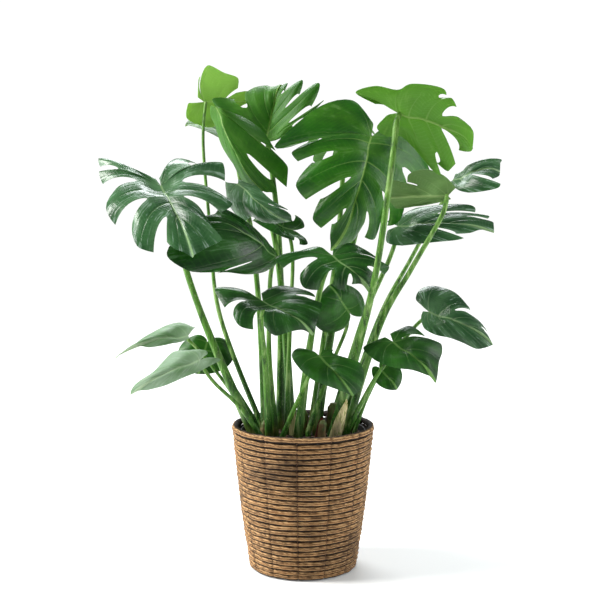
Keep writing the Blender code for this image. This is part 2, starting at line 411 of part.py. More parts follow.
def build_soil(mat):
    """Soil to the pot's wall, with a plain six-sided hole round each stem."""
    foot, rim = pot_radii()
    pot_top = BASKET_HEIGHT - POT_RIM_BELOW_BASKET
    pot_bottom = FLOOR_THICKNESS + TOUCH_GAP + POT_FLOOR
    bottom = pot_bottom + TOUCH_GAP

    def radius_at(height):
        share = (height - pot_bottom) / (pot_top - pot_bottom)
        return foot + (rim - foot) * share - POT_WALL - SOIL_SIDE_GAP

    edge = SOIL_TOP - SOIL_MOUND
    rings = [plain_ring(radius_at(bottom), bottom), plain_ring(radius_at(edge), edge)]
    points, faces = turned_solid(rings, SOIL_SIDES)
    soil = add_object("soil", points, faces[:-1], mat)
    grid = bmesh.new()
    grid.from_mesh(soil.data)
    rim_edges = [edge for edge in grid.edges if edge.is_boundary]
    raised = bmesh.ops.extrude_edge_only(grid, edges=rim_edges)
    rim_points = [item for item in raised["geom"] if isinstance(item, bmesh.types.BMVert)]
    for vert in rim_points:
        vert.co = Vector((vert.co.x * SOIL_FLAT_SHARE, vert.co.y * SOIL_FLAT_SHARE, SOIL_TOP))
    grid.faces.new([vert for vert in sorted(rim_points, key=lambda v: math.atan2(v.co.y, v.co.x))])
    bmesh.ops.recalc_face_normals(grid, faces=grid.faces[:])
    grid.to_mesh(soil.data)
    grid.free()
    holes_points, holes_faces = [], []
    stems = [(leaf["foot"], leaf["girth"][0]) for leaf in LEAVES]
    stems += [(place, radius) for place, radius, height in CROWNS]
    for place, radius in stems:
        start = len(holes_points)
        wide = radius + 2 * TOUCH_GAP
        holes_points += hexagon(place, wide, SOIL_TOP - STEM_DEPTH - TOUCH_GAP)
        holes_points += hexagon(place, wide, SOIL_TOP + 0.02)
        for side in range(STEM_SIDES):
            after = (side + 1) % STEM_SIDES
            holes_faces.append((start + side, start + after, start + STEM_SIDES + after,
                                start + STEM_SIDES + side))
        holes_faces.append(tuple(start + side for side in reversed(range(STEM_SIDES))))
        holes_faces.append(tuple(start + STEM_SIDES + side for side in range(STEM_SIDES)))
    cutter = add_object("stem_holes", holes_points, holes_faces, mat)
    cutter.hide_render = True
    cutter.display_type = "WIRE"
    cut = soil.modifiers.new("stem holes", "BOOLEAN")
    cut.operation = "DIFFERENCE"
    cut.object = cutter
    return soil


def build_crown(index, place, radius, height, mat):
    """A leaning stump with old leaf scars, six-sided like its hole."""
    rings = [hexagon(place, radius, SOIL_TOP - STEM_DEPTH), hexagon(place, radius, SOIL_TOP + CROWN_COLLAR)]
    for share, leaning, wide in CROWN_PROFILE:
        lean = CROWN_LEAN * leaning
        rings.append(hexagon((place[0] + lean, place[1] - lean), radius * wide, SOIL_TOP + share * height))
    points = [point for ring in rings for point in ring]
    return add_object(f"crown_{index}", points, tube_faces(len(rings), STEM_SIDES), mat)


def smooth_path(knots, share):
    """A point on the smooth curve through the knots, for a share of the way from 0 to 1."""
    count = len(knots) - 1
    place = min(share * count, count - 1e-9)
    index = int(place)
    t = place - index
    before = knots[max(index - 1, 0)]
    start = knots[index]
    end = knots[index + 1]
    after = knots[min(index + 2, count)]
    return 0.5 * (2 * start + (end - before) * t + (2 * before - 5 * start + 4 * end - after) * t ** 2
                  + (3 * start - before - 3 * end + after) * t ** 3)


def unit(vector):
    return vector / np.linalg.norm(vector)


def blade_frame(leaf):
    """Hub, midrib, upward normal at the hub, and the across vector of each half."""
    hub = np.array(leaf["hub"])
    along = np.array(leaf["tip"]) - hub
    halves = {1: np.array(leaf["right"]) - hub - WIDEST * along,
              -1: np.array(leaf["left"]) - hub - WIDEST * along}
    across = unit(unit(halves[1]) - unit(halves[-1]))
    normal = unit(np.cross(across, along))
    return hub, along, normal, halves


def place_on_blade(leaf, frame, side, x, y, r, lift=0.0):
    """A point of the blade, from its place across and along the flat leaf."""
    hub, along, normal, halves = frame
    length = np.linalg.norm(along)
    width = np.linalg.norm(halves[side])
    flat = y * along + x * halves[side]
    bow = 4 * max(y, 0.0) * (1 - y) + LOBE_DROP * min(y, 0.0)
    rise = leaf["bow"] * length * bow + leaf["arch"] * width * 4 * r * (1 - r)
    rise += lift - MARGIN_DROP * width * r ** 3
    fold = float(flat @ normal)
    distance = np.linalg.norm(flat - fold * normal)
    ease = min(max((distance - SEAT_RADIUS) / SEAT_FADE, 0.0), 1.0)
    ease = ease * ease * (3 - 2 * ease)
    # close to the petiole the blade is flat
    return hub + flat - (1 - ease) * fold * normal + ease * rise * normal


def vein_root(share):
    """Where along the midrib the side vein of this share starts."""
    if share <= FAN_SHARE:
        return 0.0
    return LAST_VEIN * (share - FAN_SHARE) / (1 - FAN_SHARE)


def blade_margin(leaf, side):
    """The margin of one half: its own where the leaf has one, or else between the slender and the broad form."""
    half = 0 if side == 1 else 1
    if "margins" in leaf:
        return [np.array(point) for point in leaf["margins"][half]]
    lobe = leaf["lobe"][half]
    margin = []
    for slender, broad in zip(SLENDER_MARGIN, BROAD_MARGIN):
        point = (1 - leaf["full"]) * np.array(slender) + leaf["full"] * np.array(broad)
        if point[1] < 0:
            point[1] *= lobe
        margin.append(point)
    return margin


def vein_point(outline, share, edge_share, r):
    """A point on a side vein of the flat blade: r runs from the midrib to the margin."""
    root = np.array((0.0, vein_root(share)))
    margin = smooth_path(outline, edge_share)
    margin[0] = max(margin[0], 0.0)
    run = margin - root
    bend = VEIN_BEND * math.sin(math.pi * share) * np.array((run[1], -run[0]))
    middle = root + 0.5 * run + bend
    return (1 - r) ** 2 * root + 2 * r * (1 - r) * middle + r * r * margin


def cut_span(cut):
    """Start and end of a slit or hole as shares of the vein beside it."""
    if cut > 0:
        return 1.0 - cut, 1.0
    if cut < 0:
        return -cut - HOLE_HALF_LENGTH, -cut + HOLE_HALF_LENGTH
    return LEVELS[1], 1.0


def cut_levels(cut):
    start, stop = cut_span(cut)
    if cut < 0:
        return np.interp(LEVELS, (0, LEVELS[1], LEVELS[3], 1), (0, start, stop, 1))
    return np.interp(LEVELS, (0, LEVELS[1], 1), (0, start, 1))


def cut_opening(cut, r):
    """Half the opening of a cut at r, from 0 to about 1, and how free the blade's edge is there."""
    start, stop = cut_span(cut)
    if cut == 0 or r <= start + 1e-6:
        return 0.0, 0.0
    s = (r - start) / (stop - start)
    if cut < 0:
        return HOLE_WIDTH * math.sqrt(max(4 * s * (1 - s), 0.0)), 0.0
    return s ** SLIT_ROUNDING * (SLIT_WIDTH - SLIT_NARROWING * s), s


def blade_surface(leaf):
    """Corner points and triangles of the blade's middle surface."""
    frame = blade_frame(leaf)
    count = len(leaf["right_cuts"]) + 1
    points, index_of, triangles = [], {}, []

    def corner(key, side, x, y, r, lift):
        if key not in index_of:
            index_of[key] = len(points)
            points.append(place_on_blade(leaf, frame, side, x, y, r, lift))
        return index_of[key]

    for side, cuts in ((1, leaf["right_cuts"]), (-1, leaf["left_cuts"])):
        cuts = (0, *cuts, 0)
        outline = blade_margin(leaf, side)
        for finger in range(count):
            low, high = cuts[finger], cuts[finger + 1]
            low_levels, high_levels = cut_levels(low), cut_levels(high)
            grid = []
            for column, u in enumerate((0.0, 0.5, 1.0)):
                share = (finger + u) / count
                line = []
                for level in range(len(LEVELS)):
                    r = (1 - u) * low_levels[level] + u * high_levels[level]
                    low_open, low_free = cut_opening(low, low_levels[level])
                    high_open, high_free = cut_opening(high, high_levels[level])
                    start = finger + 0.5 * leaf["gap"] * low_open
                    end = finger + 1 - 0.5 * leaf["gap"] * high_open
                    edge_share = ((1 - u) * start + u * end) / count
                    trim = FINGER_ROUND * low_free ** 2 * max(0.0, 1 - 2 * u) ** 2
                    trim += FINGER_ROUND_FRONT * high_free ** 2 * max(0.0, 2 * u - 1) ** 2
                    x, y = vein_point(outline, share, edge_share, r * (1 - trim))
                    free = (1 - u) * low_free + u * high_free
                    width = np.linalg.norm(frame[3][side])
                    wave = WAVE_HEIGHT * math.sin(WAVE_TURNS * share + side)
                    lift = width * r * r * (wave - FINGER_CURL * free * (2 * u - 1) ** 2)
                    if level == 0:
                        key = ("root", round(vein_root(share), 6))
                    elif finger == count - 1 and u == 1:
                        key = ("tip", level)
                        lift = 0.0
                        x = 0.0
                    elif u == 0 and finger > 0 and low_open == 0:
                        key = (side, "edge", finger, level)
                    elif u == 1 and high_open == 0:
                        key = (side, "edge", finger + 1, level)
                    else:
                        key = (side, finger, column, level)
                    line.append(corner(key, side, x, y, r, lift))
                grid.append(line)
            for column in range(2):
                for level in range(len(LEVELS) - 1):
                    a, b = grid[column][level], grid[column][level + 1]
                    c, d = grid[column + 1][level + 1], grid[column + 1][level]
                    # at the midrib the other diagonal keeps the last triangle off the rib
                    pair = ((a, b, d), (b, c, d)) if level == 0 else ((a, b, c), (a, c, d))
                    for triangle in pair:
                        if len(set(triangle)) == 3:
                            triangles.append(triangle if side == 1 else triangle[::-1])
    return np.array(points), triangles


def thicken(points, triangles, thickness):
    """A closed solid round a surface, with the same triangles on both faces."""
    normals = np.zeros_like(points)
    for a, b, c in triangles:
        normal = np.cross(points[b] - points[a], points[c] - points[a])
        for corner in (a, b, c):
            normals[corner] += normal
    normals /= np.linalg.norm(normals, axis=1)[:, None]
    count = len(points)
    solid = np.vstack((points + normals * thickness / 2, points - normals * thickness / 2))
    faces = [tuple(triangle) for triangle in triangles]
    faces += [(c + count, b + count, a + count) for a, b, c in triangles]
    edges = {(a, b) for triangle in triangles for a, b in zip(triangle, triangle[1:] + triangle[:1])}
    for a, b in sorted(edges):
        if (b, a) not in edges:
            faces.append((b, a, a + count))
            faces.append((b, a + count, b + count))
    return solid, faces


def build_blade(number, leaf, mat):
    points, triangles = blade_surface(leaf)
    solid, faces = thicken(points, triangles, BLADE_THICKNESS)
    return add_object(f"blade_{number:02d}", solid, faces, mat)


def seat_depth(blade, place, normal, radius):
    """How far below the place a flat end of this radius must stay to just clear the blade."""
    across = unit(np.cross(normal, (0.3, 0.9, 0.1)))
    other = np.cross(normal, across)
    tree = BVHTree.FromPolygons([vert.co for vert in blade.data.vertices],
                                [tuple(face.vertices) for face in blade.data.polygons])
    reach = 0.02
    depths = [0.0]
    for step in range(24):
        angle = 2 * math.pi * step / 24
        for share in (0.5, 1.05):
            start = place - normal * reach + radius * share * (math.cos(angle) * across + math.sin(angle) * other)
            hit = tree.ray_cast(Vector(start), Vector(normal), 2 * reach)
            if hit[0] is not None:
                depths.append(reach - hit[3])
    return max(depths) + TOUCH_GAP


def build_petiole(number, leaf, blade, mat):
    """The stalk: upright in its hole, along its way, and square onto the underside at the hub."""
    hub, along, normal, halves = blade_frame(leaf)
    lower, upper = leaf["girth"]
    top_radius = upper * TOP_SHARE
    top = hub + unit(along) * top_radius * TOP_OFFSET
    top = top - normal * seat_depth(blade, top, normal, top_radius)
    away = np.array(leaf["mids"][-1]) - top
    away = unit(away - normal * float(away @ normal))
    knee = top - normal * (KNEE_DROP * upper) + away * (KNEE_OUT * upper)
    foot = np.array((*leaf["foot"], SOIL_TOP))
    knots = [foot + np.array((0, 0, 0.008))] + [np.array(mid) for mid in leaf["mids"]] + [knee]
    ring_count = 2 * len(knots) + 1
    centres = [foot - np.array((0, 0, STEM_DEPTH)), foot + np.array((0, 0, 0.002))]
    radii = [lower, lower]
    for step in range(ring_count):
        share = step / (ring_count - 1)
        centres.append(smooth_path(knots, share))
        sheath = max(0.0, 1 - share / SHEATH_END)
        radii.append(upper + (lower - upper) * ((1 - SHEATH_SHARE) * (1 - share) + SHEATH_SHARE * sheath))
    centres.append(top)
    radii.append(top_radius)
    radii[-2] = top_radius * TOP_COLLAR
    rings = []
    across = np.array((1.0, 0.0, 0.0))
    for step, (centre, radius) in enumerate(zip(centres, radii)):
        if step <= 1:
            direction = np.array((0.0, 0.0, 1.0))
        elif step == len(centres) - 1:
            direction = normal
        else:
            direction = unit(centres[step + 1] - centres[step - 1])
        across = unit(across - direction * float(across @ direction))
        other = np.cross(direction, across)
        for side in range(STEM_SIDES):
            angle = 2 * math.pi * side / STEM_SIDES
            rings.append(centre + radius * (math.cos(angle) * across + math.sin(angle) * other))
    return add_object(f"petiole_{number:02d}", rings, tube_faces(len(centres), STEM_SIDES), mat)


def main():
    for obj in list(bpy.data.objects):
        bpy.data.objects.remove(obj)
    bark = material("banana bark", (0.22, 0.12, 0.06), 0.75)
    build_basket(bark)
    build_floor(material("basket floor", (0.18, 0.10, 0.05), 0.8))
    build_pot(material("black plastic", (0.02, 0.02, 0.02), 0.5))
    build_soil(material("soil", (0.03, 0.02, 0.015), 0.95))
    stem = material("stem", (0.16, 0.22, 0.06), 0.6)
    for index, (place, radius, height) in enumerate(CROWNS, 1):
        build_crown(index, place, radius, height, stem)
    stalk = material("petiole", (0.20, 0.36, 0.09), 0.4)
    for number, leaf in enumerate(LEAVES, 1):
        blade = build_blade(number, leaf, material(f"blade {number}", (0.03, 0.15, 0.02), 0.3))
        build_petiole(number, leaf, blade, stalk)


main()
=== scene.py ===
import math
import random

import bpy
import numpy as np
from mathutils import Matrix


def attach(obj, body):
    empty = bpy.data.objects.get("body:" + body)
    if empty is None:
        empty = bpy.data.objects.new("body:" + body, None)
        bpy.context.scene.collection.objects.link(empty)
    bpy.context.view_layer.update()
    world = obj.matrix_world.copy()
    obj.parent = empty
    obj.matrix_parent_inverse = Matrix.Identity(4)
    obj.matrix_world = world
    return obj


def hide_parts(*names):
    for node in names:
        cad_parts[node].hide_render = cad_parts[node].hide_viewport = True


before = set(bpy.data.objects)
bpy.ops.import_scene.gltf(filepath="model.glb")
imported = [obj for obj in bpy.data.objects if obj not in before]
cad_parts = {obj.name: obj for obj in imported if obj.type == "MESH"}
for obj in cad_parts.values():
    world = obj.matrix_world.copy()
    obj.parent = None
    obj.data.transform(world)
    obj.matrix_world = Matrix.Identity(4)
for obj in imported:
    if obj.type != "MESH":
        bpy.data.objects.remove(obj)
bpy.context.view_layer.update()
fullTurn = 2 * math.pi


def operate(operation, swapped=False):
    def run(first, second):
        return first.maths(operation, *((second, first) if swapped else (first, second)))
    return run


# Shader maths: a Wire is a socket that can be added, multiplied and so on
class Wire:
    __add__ = __radd__ = operate("ADD")
    __mul__ = __rmul__ = operate("MULTIPLY")
    __sub__ = operate("SUBTRACT")
    __rsub__ = operate("SUBTRACT", True)
    __truediv__ = operate("DIVIDE")
    greater = operate("MAXIMUM")

    def __init__(self, finish, socket):
        self.finish = finish
        self.socket = socket

    def maths(self, operation, *values):
        return self.finish.add("Math", {"operation": operation}, dict(enumerate(values)))

    def sine(self):
        return self.maths("SINE", self)

    # 0 at low and 1 at high, soft between; low may be the larger number
    def ramp(self, low, high):
        sockets = {0: self, 1: min(low, high), 2: max(low, high)}
        soft = self.finish.add("MapRange", {"interpolation_type": "SMOOTHSTEP"}, sockets)
        return soft if low < high else 1 - soft


# where a Mix node takes its factor and two colours, and where it gives the result
mixSockets = (0, 6, 7)
mixResult = 2


# a colour as it is picked on screen, turned into the shader's numbers
def paint(colour):
    if isinstance(colour, Wire) or len(colour) == 4:
        return colour
    shares = [value / 255 for value in colour]
    return (*(x / 12.92 if x <= 0.04045 else ((x + 0.055) / 1.055) ** 2.4 for x in shares), 1.0)


# the nodes of a material, or of the world
class Finish:
    def __init__(self, name, library=bpy.data.materials):
        self.owner = library.new(name)
        self.owner.use_nodes = True
        self.tree = self.owner.node_tree
        self.tree.nodes.clear()

    # one node: its type, its settings, then the values or wires of its sockets
    def add(self, kind, settings, sockets, output=0):
        node = self.tree.nodes.new("ShaderNode" + kind)
        for key, value in settings.items():
            setattr(node, key, value)
        for key, value in sockets.items():
            if isinstance(value, Wire):
                self.tree.links.new(value.socket, node.inputs[key])
            else:
                node.inputs[key].default_value = value
        return Wire(self, node.outputs[output])

    def place(self):
        return self.add("TexCoord", {}, {}, "Object")

    def split(self, vector):
        return [self.add("SeparateXYZ", {}, {0: vector}, axis) for axis in range(3)]

    def parts(self, attribute):
        return self.split(self.add("Attribute", {"attribute_name": attribute}, {}, "Vector"))

    def join(self, x, y, z):
        return self.add("CombineXYZ", {}, {0: x, 1: y, 2: z})

    # upright below 1 draws the noise out along the stalks
    def noise(self, scale, detail=3.0, upright=1, place=None):
        place = place or self.place()
        if upright < 1:
            place = self.add("VectorMath", {"operation": "MULTIPLY"}, {0: place, 1: (1, 1, upright)})
        return self.add("TexNoise", {}, {"Vector": place, "Scale": scale, "Detail": detail})

    # a colour with others laid over it, each with its cover
    def blend(self, colour, *layers):
        for cover, over in layers:
            sockets = dict(zip(mixSockets, (cover, paint(colour), paint(over))))
            colour = self.add("Mix", {"data_type": "RGBA"}, sockets, mixResult)
        return colour

    def bump(self, height, strength, distance):
        return self.add("Bump", {}, {"Height": height, "Strength": strength, "Distance": distance})

    def body(self, colour, roughness, normal=None, **fixed):
        sockets = {"Base Color": colour, "Roughness": roughness}
        if normal:
            sockets["Normal"] = normal
        sockets.update({key.replace("_", " "): value for key, value in fixed.items()})
        return self.add("BsdfPrincipled", {}, sockets)

    def close(self, shader, end="OutputMaterial"):
        last = self.tree.nodes.new("ShaderNode" + end)
        self.tree.links.new(shader.socket, last.inputs["Surface"])
        return self.owner


# a finish of two colours in one grain
def grainFinish(name, first, second, scale, detail, edges, rough, strength, depth, upright=1):
    finish = Finish(name)
    fine = finish.noise(scale, detail, upright)
    tone = finish.blend(first, (fine.ramp(*edges), second))
    return finish.close(finish.body(tone, rough, finish.bump(fine, strength, depth)))


def addToScene(name, data):
    thing = bpy.data.objects.new(name, data)
    bpy.context.scene.collection.objects.link(thing)
    return thing


# a piece hangs under the root body, and hides the CAD node it stands for unless told otherwise
def addPiece(name, points, faces, material, node, attributes=None, sharpAngle=None, replaces=True):
    mesh = bpy.data.meshes.new(name)
    mesh.from_pydata([tuple(point) for point in points], [], faces)
    mesh.update()
    mesh.materials.append(material)
    mesh.shade_smooth()
    if sharpAngle:
        mesh.set_sharp_from_angle(angle=math.radians(sharpAngle))
    for key, values in (attributes or {}).items():
        layer = mesh.attributes.new(key, "FLOAT_VECTOR", "POINT")
        layer.data.foreach_set("vector", np.asarray(values, dtype=np.float32).ravel())
    piece = addToScene(name, mesh)
    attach(piece, "root")
    if replaces:
        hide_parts(node)


def dress(node, material):
    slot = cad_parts[node].data.materials
    slot.clear()
    slot.append(material)


def unit(vector):
    return vector / np.linalg.norm(vector)


# points on the smooth curve through the knots, for shares of the way from 0 to 1
def smoothPath(knots, share):
    knots = np.asarray(knots, float)
    count = len(knots) - 1
    place = np.clip(np.asarray(share, float) * count, 0, count - 1e-9)
    index = place.astype(int)
    t = (place - index)[..., None]
    before, start, end, after = (knots[np.clip(index + step, 0, count)] for step in (-1, 0, 1, 2))
    bend = (2 * before - 5 * start + 4 * end - after) * t ** 2
    return 0.5 * (2 * start + (end - before) * t + bend + (3 * start - before - 3 * end + after) * t ** 3)


# places round an upright line
def polar(reach, turn, level):
    return np.stack(np.broadcast_arrays(reach * np.cos(turn), reach * np.sin(turn), level), -1)


def ringAngles(sides):
    return fullTurn * np.arange(sides) / sides


# rings of points as one closed skin each: a loop closes on itself, other tubes have caps
def joinTubes(tubes, loop=False):
    points, faces = [], []
    for tube in tubes:
        rows, sides = tube.shape[:2]
        skin = []
        for row in range(rows if loop else rows - 1):
            here, there = row * sides, (row + 1) % rows * sides
            for side in range(sides):
                after = (side + 1) % sides
                skin.append((here + side, here + after, there + after, there + side))
        if not loop:
            skin += [tuple(range(sides))[::-1], tuple(range((rows - 1) * sides, rows * sides))]
        faces += [tuple(corner + len(points) for corner in face) for face in skin]
        points += list(tube.reshape(-1, 3))
    return points, faces


# one closed skin round two like sheets
def joinSheets(upper, lower, faces):
    count = len(upper)
    edges = {(a, b) for face in faces for a, b in zip(face, face[1:] + face[:1])}
    border = [(b, a, a + count, b + count) for a, b in sorted(edges) if (b, a) not in edges]
    under = [tuple(corner + count for corner in face[::-1]) for face in faces]
    return np.vstack((upper, lower)), faces + under + border


